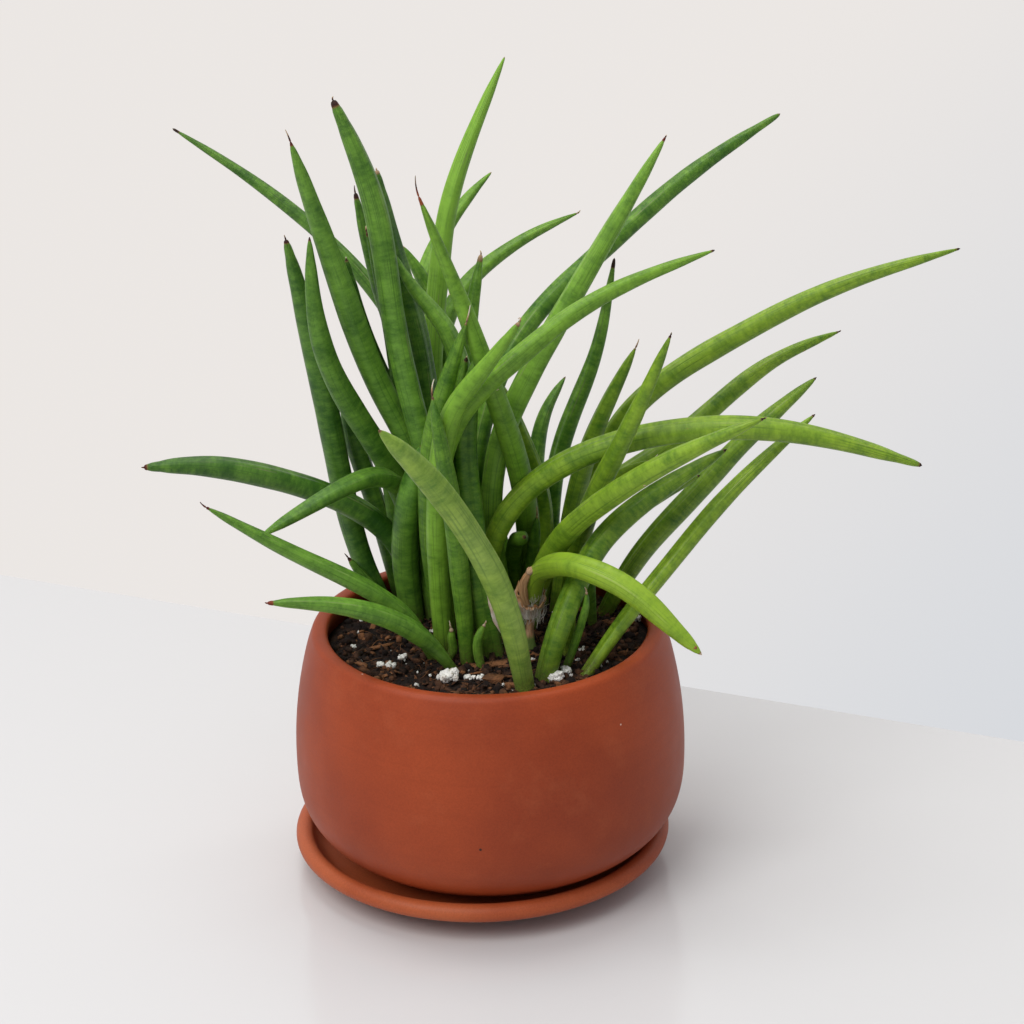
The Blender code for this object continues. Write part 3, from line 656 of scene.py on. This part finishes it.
def grow_leaf(node, number, point, tone, cap, char, thread=0, curl=0.0, pallor=0.0):
    """One leaf over its CAD rings: its green length, its dry cap and its dry thread."""
    chance = random.Random(number)
    centres, radii, uppers = cad_rings(node)
    heading = unit(centres[1] - centres[0])
    centres = np.concatenate([[centres[0] - heading * ROOT_DEPTH], centres])
    radii = np.concatenate([[radii[0] * 0.97], radii])
    uppers = np.concatenate([[uppers[0]], uppers])
    t = np.linspace(0.0, 1.0, LEAF_ALONG)
    places = 1.0 - (1.0 - t) ** 1.35
    drawn = fair_curve(np.column_stack([centres, radii]), places)
    path, girth = drawn[:, :3], drawn[:, 3]
    lengths = step_lengths(path)
    to_tip = lengths[-1] - lengths
    wobble = [noise.noise(Vector((length / 16.0, number * 7.7, 0.0))) for length in lengths]
    blunt = np.linalg.norm(centres[-1] - centres[-2])
    girth = np.where(to_tip < blunt, radii[-2] * np.clip(to_tip / blunt, 0.0, 1.0) ** point, girth)
    girth = girth * (1.0 + 0.045 * np.array(wobble))
    girth = np.maximum(girth, 0.55 * np.clip(to_tip / 0.6, 0.35, 1.0))
    girth *= 1.0 - 0.10 * np.exp(-((to_tip - cap) / 0.7) ** 2)
    ups = read_along(lengths, step_lengths(centres), uppers)
    dry = np.clip((cap - to_tip) / 0.8, 0.0, 1.0)
    ash = np.full(LEAF_ALONG, char) + 0.10 * np.clip(1.0 - to_tip / max(cap, 0.1), 0.0, 1.0)
    heading = unit(path[-1] - path[-2])
    if thread:
        tail = thread_path(path[-1], heading, thread, curl, chance)
        tail_girth, tail_dry = np.linspace(*THREAD_RADII, THREAD_ALONG), np.ones(THREAD_ALONG)
        tail_ash = char + (pallor - char) * np.clip(np.linspace(0.0, 1.6, THREAD_ALONG), 0.0, 1.0)
    else:
        tail, tail_girth, tail_dry, tail_ash = [path[-1] + heading * 0.3], [0.1], dry[-1:], ash[-1:]
    ups = np.concatenate([ups, np.repeat(ups[-1:], len(tail), axis=0)])
    path, girth, dry, ash = (
        np.concatenate(pair) for pair in ((path, tail), (girth, tail_girth), (dry, tail_dry),
                                          (ash, tail_ash)))
    girth[-1] = 0.0
    rows = len(path)
    values = np.column_stack([np.full(rows, tone), np.full(rows, (number * 0.137) % 1.0), dry, ash])
    depth = np.interp(np.arange(rows), [0, LEAF_ALONG * 0.6, LEAF_ALONG], CHANNEL_DEPTHS)
    phase = chance.uniform(0.0, 6.28)

    def section(angle, row):
        channel = depth[row] * np.exp(-(angle / CHANNEL_WIDTH) ** 2)
        margin = 0.035 * np.exp(-((np.abs(angle) - MARGIN_ANGLE) / 0.20) ** 2)
        flutes = 0.008 * np.cos(9.0 * angle) + 0.020 * np.cos(3.0 * angle + phase)
        return 1.0 - channel + margin + flutes

    return roll_up(node.replace("leaf_", "green_leaf_"), path, girth, ups, section,
                   LEAF_AROUND, values)


def skin_place(tree):
    """Places on a rolled-up skin: round it from 0 to 1, and along it in units of 100 mm."""
    uv = add_node(tree, "UVMap", uv_map="UVMap").outputs[0]
    return add_node(tree, "SeparateXYZ", {0: uv}).outputs[:2]


def wrapped(tree, width, pace, shift=0.0):
    """A place for a pattern that closes round a rolled-up skin."""
    around, along = skin_place(tree)
    turn = times(tree, around, 2.0 * math.pi)
    x = calculate(tree, "MULTIPLY_ADD", calculate(tree, "COSINE", turn), width, shift)
    y = times(tree, calculate(tree, "SINE", turn), width)
    z = times(tree, along, pace)
    return add_node(tree, "CombineXYZ", {0: x, 1: y, 2: z}).outputs[0]


def make_leaf_group():
    """Leaf skin: cloudy cross-bands, fine dark lines, pale margins, a soiled foot, a dry tip."""
    group, given = new_group("leaf skin", Deep="Color", Light="Color", Dust="Color", Haze="Float")
    around, along = skin_place(group)
    growth = read_attribute(group, "growth", "Color")
    tone, seed, dry = add_node(group, "SeparateColor", {0: growth}).outputs
    ash = read_attribute(group, "ash", "Fac")
    shift = times(group, seed, 61.0)
    place = object_place(group)
    bands = grain(group, wrapped(group, 0.45, 14.0, shift), 1.0, 5.0, 0.62)
    narrow = grain(group, wrapped(group, 0.9, 62.0, shift), 1.0, 3.0, 0.6)
    lines = grain(group, wrapped(group, 9.0, 1.5, shift), 1.0, 2.0, 0.5)
    speckle = grain(group, place, 1500.0, 3.0, 0.7)
    clouds = grain(group, place, 55.0, 4.0, 0.6)
    level = tone
    for pattern, strength in ((bands, 1.0), (narrow, 0.62), (clouds, 0.5), (speckle, 0.3)):
        swing = calculate(group, "MULTIPLY_ADD", pattern, strength, -strength / 2)
        level = plus(group, level, swing)
    colour = blend(group, spread(group, level, 0.0, 1.0), given["Deep"], given["Light"])
    line_mask = times(group, spread(group, lines, 0.44, 0.36), spread(group, clouds, 0.30, 0.60))
    colour = blend(group, times(group, line_mask, 0.48), colour, given["Deep"])
    from_channel = calculate(group, "ABSOLUTE", calculate(group, "SUBTRACT", around, 0.5))
    off_margin = calculate(group, "ABSOLUTE", calculate(group, "SUBTRACT", from_channel, 0.128))
    margin = times(group, spread(group, off_margin, 0.012, 0.004),
                   spread(group, clouds, 0.45, 0.65, 0.0, 0.30))
    colour = blend(group, margin, colour, (0.33, 0.30, 0.17, 1.0))
    haze = times(group, given["Haze"], spread(group, clouds, 0.25, 0.75))
    colour = blend(group, haze, colour, given["Dust"])
    soiled = times(group, spread(group, along, 0.16, 0.02),
                   spread(group, speckle, 0.42, 0.62, 0.15, 0.85))
    colour = blend(group, soiled, colour, (0.085, 0.055, 0.025, 1.0))
    colour = blend(group, spread(group, dry, 0.0, 0.5), colour, (0.17, 0.13, 0.03, 1.0))
    char = calculate(group, "MULTIPLY_ADD", speckle, 0.16, calculate(group, "SUBTRACT", ash, 0.08))
    ramp = add_node(group, "ValToRGB", {0: char})
    stops = ramp.color_ramp.elements
    stops[0].position, stops[0].color = 0.05, (0.330, 0.085, 0.022, 1.0)
    stops[1].position, stops[1].color = 1.0, (0.700, 0.620, 0.520, 1.0)
    for position, tint in ((0.28, (0.150, 0.022, 0.012, 1.0)), (0.50, (0.022, 0.009, 0.007, 1.0)),
                           (0.66, (0.110, 0.050, 0.028, 1.0)), (0.82, (0.400, 0.260, 0.150, 1.0))):
        stops.new(position).color = tint
    dried = spread(group, dry, 0.35, 0.85)
    colour = blend(group, dried, colour, ramp.outputs[0])
    rough = calculate(group, "MULTIPLY_ADD", speckle, 0.20, 0.36)
    rough = plus(group, rough, times(group, dried, 0.30))
    height = calculate(group, "SUBTRACT", times(group, narrow, 0.35),
                       times(group, line_mask, 0.55))
    height = plus(group, height, times(group, speckle, 0.20))
    return put_out(group, colour, rough, height)


def leaf_finish(name, deep, light, haze):
    """Leaf skin in one pair of greens, over flesh that lets a little light through."""
    material = finish_with(name, leaf_group, {"Deep": deep, "Light": light, "Haze": haze,
                                              "Dust": (0.26, 0.33, 0.17)},
                           bump=0.20, specular=0.30)
    shader = material.node_tree.nodes["Principled BSDF"]
    shader.inputs["Subsurface Weight"].default_value = 0.12
    shader.inputs["Subsurface Radius"].default_value = (0.6, 1.0, 0.2)
    shader.inputs["Subsurface Scale"].default_value = 0.002
    return material


leaf_group = make_leaf_group()
leaf_finishes = {
    "left": ("leaf_deep", leaf_finish("deep_leaf_skin", (0.016, 0.075, 0.004),
                                      (0.165, 0.350, 0.035), 0.04)),
    "back": ("leaf_mid", leaf_finish("mid_leaf_skin", (0.020, 0.092, 0.004),
                                     (0.215, 0.420, 0.040), 0.04)),
    "centre": ("leaf_mid", leaf_finish("inner_leaf_skin", (0.020, 0.086, 0.003),
                                       (0.200, 0.390, 0.032), 0.03)),
    "fresh": ("leaf_fresh", leaf_finish("fresh_leaf_skin", (0.028, 0.108, 0.003),
                                        (0.270, 0.425, 0.026), 0.04)),
    "pale": ("leaf_fresh", leaf_finish("pale_leaf_skin", (0.045, 0.140, 0.008),
                                       (0.290, 0.425, 0.055), 0.16))}

# Each leaf's tone; its dry cap's length in millimetres and tone, from rust over black to
# bleached; and, if it has a thread, the thread's length, its curl in radians, and how pale
# the thread has bleached.
leaf_habits = {
    "left_01": (0.42, 3.0, 0.45), "left_02": (0.52, 1.8, 0.30, 5, 0.4, 0.85),
    "left_03": (0.50, 2.6, 0.42, 2, 1.9, 0.90), "left_04": (0.42, 2.6, 0.42, 3, 0.5, 0.50),
    "left_05": (0.35, 1.8, 0.75, 1, 1.0, 0.90), "left_06": (0.32, 1.6, 0.40, 2, 0.8, 0.70),
    "left_07": (0.45, 1.5, 0.40), "left_08": (0.35, 1.0, 0.50, 1, 0.5, 1.00),
    "left_09": (0.35, 2.0, 0.60, 4, 2.5, 1.00), "left_10": (0.30, 1.6, 0.35, 1, 0.4, 0.45),
    "left_11": (0.48, 2.2, 0.60, 3, 2.2, 0.95), "left_12": (0.45, 1.2, 0.50, 5, 0.8, 1.00),
    "left_13": (0.58, 1.6, 0.32, 3, 0.6, 0.45), "left_14": (0.58, 2.4, 0.18, 1, 0.5, 0.40),
    "left_15": (0.42, 2.0, 0.40, 2, 0.7, 0.60), "left_16": (0.35, 1.2, 0.40),
    "left_17": (0.42, 5.0, 0.80, 2, 0.7, 0.95),
    "back_01": (0.45, 1.0, 0.75), "back_02": (0.50, 1.0, 0.45, 1, 0.6, 0.80),
    "back_03": (0.92, 0.5, 0.75), "back_04": (0.65, 0.8, 0.75),
    "back_05": (0.55, 1.0, 0.70, 2, 0.8, 0.85), "back_06": (0.50, 3.0, 0.72, 2, 1.2, 0.85),
    "back_07": (0.36, 0.8, 0.50), "back_08": (0.68, 2.0, 0.28, 1, 0.8, 0.90),
    "back_09": (0.42, 4.0, 0.45), "back_10": (0.38, 1.0, 0.60),
    "centre_01": (0.66, 3.6, 0.08, 8, 0.7, 0.68), "centre_02": (0.66, 1.5, 0.40),
    "centre_03": (0.72, 1.5, 0.70, 4, 3.0, 0.90), "centre_04": (0.46, 1.5, 0.60, 7, 0.8, 1.00),
    "centre_05": (0.36, 1.2, 0.50), "centre_06": (0.46, 1.0, 0.70, 7, 0.7, 1.00),
    "centre_07": (0.42, 1.5, 0.45, 1, 0.6, 0.90), "centre_08": (0.60, 1.0, 0.60),
    "centre_09": (0.40, 0.8, 0.50), "centre_10": (0.32, 1.0, 0.70, 4, 0.8, 0.80),
    "right_01": (0.60, 1.5, 0.40), "right_02": (0.58, 1.5, 0.42),
    "right_03": (0.56, 1.2, 0.40, 1, 0.8, 0.70), "right_04": (0.48, 1.0, 0.70, 4, 1.2, 0.80),
    "right_05": (0.54, 1.5, 0.40, 1, 0.5, 0.70), "right_06": (0.62, 1.5, 0.45, 1, 0.9, 0.80),
    "right_07": (0.46, 1.2, 0.45), "right_08": (0.60, 1.6, 0.40),
    "right_09": (0.42, 1.6, 0.45), "right_10": (0.46, 1.4, 0.45),
    "right_11": (0.58, 1.5, 0.70, 4, 0.9, 1.00), "right_12": (0.80, 1.2, 0.80),
    "right_13": (0.50, 1.0, 0.50, 1, 0.5, 0.70)}
blunt_leaves = ("left_03", "left_04", "left_05", "left_06", "left_08", "back_02", "back_06",
                "centre_03", "centre_07", "left_10", "left_14", "back_07", "right_02", "back_09")
for number, (place, habit) in enumerate(leaf_habits.items(), start=1):
    side = place.split("_")[0]
    kind = "pale" if place == "centre_08" else "fresh" if side == "right" else side
    slot, finish = leaf_finishes[kind]
    point = BLUNT_POINT if place in blunt_leaves else SHARP_POINT
    leaf = grow_leaf("leaf_" + place, number, point, *habit)
    stands_for(leaf, finish, slot, "leaf_" + place)


# Healed scars: small dry spots on the skins, each a share of the way along its leaf and at
# an angle from its channel. Sizes are in millimetres, and the tone goes from rust to pale.
scar_spots = []
scar_chance = random.Random(3)
for place, share, angle, size, tone in (
        ("back_01", 0.62, 2.2, 0.7, 0.9), ("centre_01", 0.80, 2.6, 0.6, 1.0),
        ("left_03", 0.64, 2.4, 0.6, 0.8), ("left_01", 0.62, 2.9, 0.7, 0.9),
        ("back_06", 0.72, 2.6, 0.7, 0.8), ("back_05", 0.82, 2.8, 0.6, 0.9),
        ("back_03", 0.97, 2.6, 0.5, 0.9), ("left_10", 0.93, 1.2, 1.0, 0.9),
        ("right_03", 0.90, 2.5, 0.6, 0.6), ("centre_02", 0.55, 2.6, 0.6, 1.0),
        ("right_02", 0.60, 1.0, 0.8, 0.45), ("right_06", 0.66, 2.4, 0.7, 0.9),
        ("right_12", 0.965, 0.5, 0.8, 0.35), ("back_07", 0.90, 2.6, 0.9, 0.3),
        ("left_04", 0.72, 2.8, 0.6, 0.7), ("right_08", 0.90, 2.4, 0.6, 0.8)):
    centres, radii, uppers = cad_rings("leaf_" + place)
    ways = step_lengths(centres)
    at = share * ways[-1]
    middle, upper = read_along(at, ways, centres), read_along(at, ways, uppers)
    heading = unit(read_along(at + 2.0, ways, centres) - middle)
    outward = Matrix.Rotation(angle, 3, Vector(heading)) @ Vector(upper)
    spot = middle + np.array(outward) * np.interp(at, ways, radii) * 0.985
    turn = outward.to_track_quat("Z", "Y").to_euler()
    scar_spots.append((tuple(spot), (size, size * 0.8, SCAR_THICKNESS), tuple(turn), tone))
scar_finish = finish_with(
    "healed_scar", soil_group, {"Dark": (0.20, 0.07, 0.03), "Brown": (0.36, 0.15, 0.05),
                                "Rust": (0.66, 0.52, 0.36)}, bump=0.1, specular=0.3)
scars = strew("healed_scars", lump_shape, scar_spots, 0.5, scar_chance)
stands_for(scars, scar_finish, "leaf_mid")


# Young shoots ------------------------------------------------------------------------
# Short new leaves that have just come up between the older ones. Each is wrapped to a
# soft point that has begun to dry.

shoot_habits = {
    "shoot_01": (0.55, 1.4, 0.82, 2, 2.4, 0.95), "shoot_02": (0.60, 2.0, 0.80, 3, 0.4, 0.95),
    "shoot_03": (0.48, 1.4, 0.78, 2, 1.6, 0.90), "shoot_04": (0.45, 1.0, 0.78, 1, 0.6, 0.90)}
for number, (node, habit) in enumerate(shoot_habits.items(), start=60):
    shoot = grow_leaf(node, number, SHOOT_POINT, *habit)
    shoot.name = shoot.data.name = "green_" + node
    stands_for(shoot, leaf_finishes["back"][1], "leaf_deep", node)


# Dry stem and sheath -----------------------------------------------------------------
# The offset sits on the end of a short runner whose skin has dried brown and wrinkled.
# Papery scales, torn into strips and fibres, wrap the foot of its one leaf.

STEM_AROUND, STEM_ALONG = 20, 30
SHEATH_AROUND, SHEATH_ALONG = 48, 26
STRIP_AROUND, STRIP_ALONG = 16, 24
SHEATH_FOOT, SHEATH_TOP = -6.5, 9.0
PAPER_THICKNESS = 0.3
TORN_LENGTH, TEAR_DEPTH = 8.0, 4.8
SCALE_FIBRES = 130


def husk_values(rows, grey, green=0.0):
    """What a dried skin's mesh carries at each row: how grey it has weathered, and its green."""
    return np.column_stack([np.broadcast_to(part, rows) for part in (grey, 0.0, green, 1.0)])


def make_husk_group():
    """Dried scale: tan, rust and grey streaks that run along it."""
    group, given = new_group("dried scale", Tan="Color", Rust="Color", Grey="Color")
    growth = read_attribute(group, "growth", "Color")
    weathered, _, green = add_node(group, "SeparateColor", {0: growth}).outputs
    streaks = grain(group, wrapped(group, 5.0, 9.0), 1.0, 4.0, 0.65)
    patches = grain(group, object_place(group), 240.0, 4.0, 0.6)
    colour = blend(group, spread(group, streaks, 0.35, 0.65), given["Rust"], given["Tan"])
    grey = times(group, weathered, spread(group, patches, 0.35, 0.65, 0.35, 1.0))
    colour = blend(group, grey, colour, given["Grey"])
    colour = blend(group, green, colour, (0.13, 0.20, 0.045, 1.0))
    height = plus(group, streaks, times(group, patches, 0.4))
    return put_out(group, colour, spread(group, patches, 0.2, 0.8, 0.6, 0.9), height)


husk_finish = finish_with(
    "dried_husk", make_husk_group(),
    {"Tan": (0.54, 0.33, 0.16), "Rust": (0.32, 0.130, 0.042),
     "Grey": (0.66, 0.61, 0.54)}, bump=0.40, specular=0.3)


stem_low, stem_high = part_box("dry_stem")
stem_x, stem_y = (stem_low.x + stem_high.x) / 2 / MM, (stem_low.y + stem_high.y) / 2 / MM
stem_heights = np.linspace(stem_low.z / MM - 2.0, stem_high.z / MM - 0.2, STEM_ALONG)
stem_path = np.column_stack([
    stem_x + 0.35 * np.sin(stem_heights / 2.3), stem_y + 0.3 * np.cos(stem_heights / 3.1),
    stem_heights])
stem_rise = stem_heights - stem_low.z / MM
stem_girth = np.interp(stem_rise, [0, 4.5, 6, 8, 12, 19], [2.3, 2.3, 2.0, 1.5, 1.5, 1.7])
stem_green = np.interp(stem_rise, [0, 5, 6.5], [1.0, 1.0, 0.0])


def wrinkled_section(angle, row):
    return 1.0 + 0.09 * np.cos(5.0 * angle + row * 0.35) + 0.05 * np.cos(9.0 * angle - row * 0.8)


stem = roll_up("dried_runner", stem_path, stem_girth, np.tile([1.0, 0.0, 0.0], (STEM_ALONG, 1)),
               wrinkled_section, STEM_AROUND, husk_values(STEM_ALONG, 0.15, stem_green))
stands_for(stem, husk_finish, "husk", "dry_stem")

offset_centres, _, offset_uppers = cad_rings("leaf_right_12")
offset_foot = offset_centres[0]
sheath_steps = np.linspace(SHEATH_FOOT, SHEATH_TOP, SHEATH_ALONG)
inside = np.clip(sheath_steps, 0.0, None)
sheath_path = read_along(inside, step_lengths(offset_centres), offset_centres)
sheath_path[:, 2] += np.minimum(sheath_steps, 0.0)
sheath_girth = np.interp(sheath_steps, [-6.5, -4.0, -1.5, 1.0, 4.0, 7.0, 9.0],
                         [2.6, 3.3, 4.7, 5.7, 5.9, 5.6, 5.8])
sheath_ups = np.tile(offset_uppers[0], (SHEATH_ALONG, 1))
sheath_grey = np.interp(sheath_steps, [-6.5, 1.0, 6.0], [0.95, 0.70, 0.0])


def torn_section(angle, row):
    folds = 0.05 * np.cos(7.0 * angle + row * 0.25) + 0.04 * np.cos(13.0 * angle - row * 0.4)
    flare = np.clip((row - 17) / 6.0, 0.0, 1.0) * 0.10 * np.cos(4.0 * angle + 0.8)
    return 1.0 + folds + flare


sheath = roll_up("papery_scales", sheath_path, sheath_girth, sheath_ups, torn_section,
                 SHEATH_AROUND, husk_values(SHEATH_ALONG, sheath_grey), close=False)
sheath_top = Vector(sheath_path[-1] * MM)
sheath_axis = Vector(unit(sheath_path[-1] - sheath_path[-4]))
for vertex in sheath.data.vertices:
    share = 1.0 + (vertex.co - sheath_top).dot(sheath_axis) / (TORN_LENGTH * MM)
    if share > 0.0:
        angle = math.atan2(vertex.co.y - sheath_top.y, vertex.co.x - sheath_top.x)
        front = 0.5 + 0.5 * math.cos(angle + 0.9)
        tear = front + 0.35 + 0.35 * math.sin(3.0 * angle + 1.0) + 0.3 * math.sin(11.0 * angle)
        vertex.co -= sheath_axis * TEAR_DEPTH * MM * share * max(0.0, tear)
thicken = sheath.modifiers.new("paper", "SOLIDIFY")
thicken.thickness = PAPER_THICKNESS * MM
thicken.offset = 1.0
bpy.context.view_layer.objects.active = sheath
bpy.ops.object.modifier_apply(modifier=thicken.name)
soften(sheath, 1)
stands_for(sheath, husk_finish, "husk", "papery_sheath")


def dry_strip(name, start, steps, width, thickness, grey):
    """A strip of dead scale by steps from a place, in millimetres, curled at its edges."""
    path = fair_curve(np.array(start) + np.array(steps), np.linspace(0.0, 1.0, STRIP_ALONG))
    girth = width * np.sin(np.linspace(0.35, math.pi - 0.25, STRIP_ALONG)) ** 0.5

    def strip_section(angle, row):
        flat = thickness + (1.0 - thickness) * np.abs(np.sin(angle))
        return flat * (1.0 + 0.12 * np.cos(5.0 * angle + row * 0.7))

    strip = roll_up(name, path, girth, np.tile([0.2, -1.0, 0.3], (STRIP_ALONG, 1)),
                    strip_section, STRIP_AROUND, husk_values(STRIP_ALONG, grey))
    stands_for(strip, husk_finish, "husk")


# A scale in front of the foot ends in a small brown knob; a second one hangs down the stem.
dry_strip("curled_scale", offset_foot, [(-0.8, -6.0, 1.0), (-2.2, -7.4, 7.0), (-1.8, -8.4, 12.0),
                                        (0.4, -9.4, 16.5)], 1.7, 0.5, 0.05)
dry_strip("scale_knob", offset_foot, [(-0.2, -9.4, 15.4), (0.7, -9.5, 16.8), (1.9, -9.3, 17.5)],
          1.5, 0.9, 0.30)
dry_strip("hanging_scale", offset_foot, [(-4.0, -2.8, -0.5), (-4.6, -3.4, -4.0),
                                         (-4.8, -3.2, -8.0), (-5.3, -3.0, -10.5)], 0.8, 0.4, 0.15)
# A dead grey husk stands between the dark leaves further left.
dry_strip("grey_husk", (axis_x, axis_y, SOIL_LEVEL),
          [(0.5, -30, 35), (1.8, -30, 30), (3.0, -30, 24), (5.5, -29, 17)], 1.4, 0.3, 1.0)

scale_fibre_finish = finish_with(
    "scale_fibre", soil_group, {"Dark": (0.42, 0.37, 0.31), "Brown": (0.66, 0.61, 0.54),
                                "Rust": (0.80, 0.76, 0.70)}, bump=0.1, specular=0.3)
scale_chance = random.Random(5)
scale_spots = []
for _ in range(SCALE_FIBRES):
    angle = scale_chance.uniform(-2.6, 0.6)
    reach = scale_chance.uniform(4.2, 6.3)
    shift = (reach * math.cos(angle), reach * math.sin(angle), scale_chance.uniform(-6.0, 3.5))
    thickness = scale_chance.uniform(0.05, 0.12)
    turn = (scale_chance.uniform(-0.35, 0.35), scale_chance.uniform(-0.35, 0.35), angle)
    sizes = (thickness, thickness, scale_chance.uniform(1.6, 4.2))
    scale_spots.append((offset_foot + shift, sizes, turn, scale_chance.uniform(0.4, 1.0)))
scale_fibres = strew("scale_fibres", fibre_shape, scale_spots, 0.0, scale_chance)
stands_for(scale_fibres, scale_fibre_finish, "husk")


# Studio ------------------------------------------------------------------------------
# The plant stands on a glossy white table whose far edge runs behind it, in front of a
# pale backdrop. A broad soft window light comes from the front left, and a skylight from above.

CAMERA_PLACE = (0.004, -0.9875, 0.5486)
CAMERA_TURN = (-0.599, 22.168, -1.203)      # heading, downward tilt and roll, in degrees
CAMERA_LENS, CAMERA_SENSOR, CAMERA_NEAR = 98.47, 36.0, 0.02
TABLE_HALF_WIDTH, TABLE_DEPTH = 3.0, 5.0
LIGHT_AIM = (0.0, 0.0, 0.10)

bpy.ops.object.select_all(action="DESELECT")
bpy.ops.mesh.primitive_plane_add(size=2.0)
floor = bpy.context.object
floor.name = floor.data.name = "table_top"
far_left, far_right = Vector((-0.237, 0.293, 0.0)), Vector((0.233, 0.083, 0.0))
edge_way = (far_right - far_left).normalized()
near_way = Vector((edge_way.y, -edge_way.x, 0.0))
edge_middle = (far_left + far_right) / 2
for vertex in floor.data.vertices:
    along, near = vertex.co.x * TABLE_HALF_WIDTH, (1.0 - vertex.co.y) / 2 * TABLE_DEPTH
    vertex.co = edge_middle + edge_way * along + near_way * near
floor.data.update()
floor_finish = bpy.data.materials.new("white_table")
floor_finish.use_nodes = True
floor_shader = floor_finish.node_tree.nodes["Principled BSDF"]
floor_shader.inputs["Base Color"].default_value = (0.638, 0.638, 0.648, 1.0)
floor_shader.inputs["Roughness"].default_value = 0.16
floor.data.materials.append(floor_finish)

# The pale wall behind is lit more than the rest of the room; it cools off down on the right.
world = bpy.data.worlds.new("pale_room")
bpy.context.scene.world = world
world.use_nodes = True
room = world.node_tree
facing = add_node(room, "SeparateXYZ", {0: add_node(room, "TexCoord").outputs["Generated"]})
down_right = calculate(room, "SUBTRACT", facing.outputs[0], facing.outputs[2])
wall = blend(room, spread(room, down_right, 0.30, 0.68), (0.835, 0.800, 0.775, 1.0),
             (0.680, 0.700, 0.735, 1.0))
side = blend(room, spread(room, facing.outputs[0], 0.25, 0.75), (0.55, 0.56, 0.58, 1.0),
             (0.30, 0.31, 0.34, 1.0))
air = blend(room, spread(room, facing.outputs[1], -0.3, 0.8), side, wall)
room.links.new(air, room.nodes["Background"].inputs["Color"])
room.nodes["Background"].inputs["Strength"].default_value = 1.0


def hang_light(name, place, size, power, colour):
    """A square soft light that faces the plant."""
    light = bpy.data.lights.new(name, "AREA")
    light.size, light.energy, light.color = size, power, colour
    lamp = bpy.data.objects.new(name, light)
    lamp.location = place
    aim = Vector(LIGHT_AIM) - Vector(place)
    lamp.rotation_euler = aim.to_track_quat("-Z", "Y").to_euler()
    bpy.context.scene.collection.objects.link(lamp)


hang_light("window", (-0.70, -1.0, 1.5), 1.1, 19.0, (1.0, 0.98, 0.95))
hang_light("skylight", (-0.2, 0.28, 1.9), 0.8, 13.0, (1.0, 0.99, 0.97))

camera_data = bpy.data.cameras.new("camera")
camera_data.lens = CAMERA_LENS
camera_data.sensor_width = CAMERA_SENSOR
camera_data.clip_start = CAMERA_NEAR
camera = bpy.data.objects.new("camera", camera_data)
heading, tilt, roll = (math.radians(angle) for angle in CAMERA_TURN)
camera.matrix_world = (
    Matrix.Translation(CAMERA_PLACE) @ Matrix.Rotation(heading, 4, "Z")
    @ Matrix.Rotation(math.pi / 2 - tilt, 4, "X") @ Matrix.Rotation(roll, 4, "Z"))
bpy.context.scene.collection.objects.link(camera)
bpy.context.scene.camera = camera
bpy.context.scene.view_settings.view_transform = "Standard"
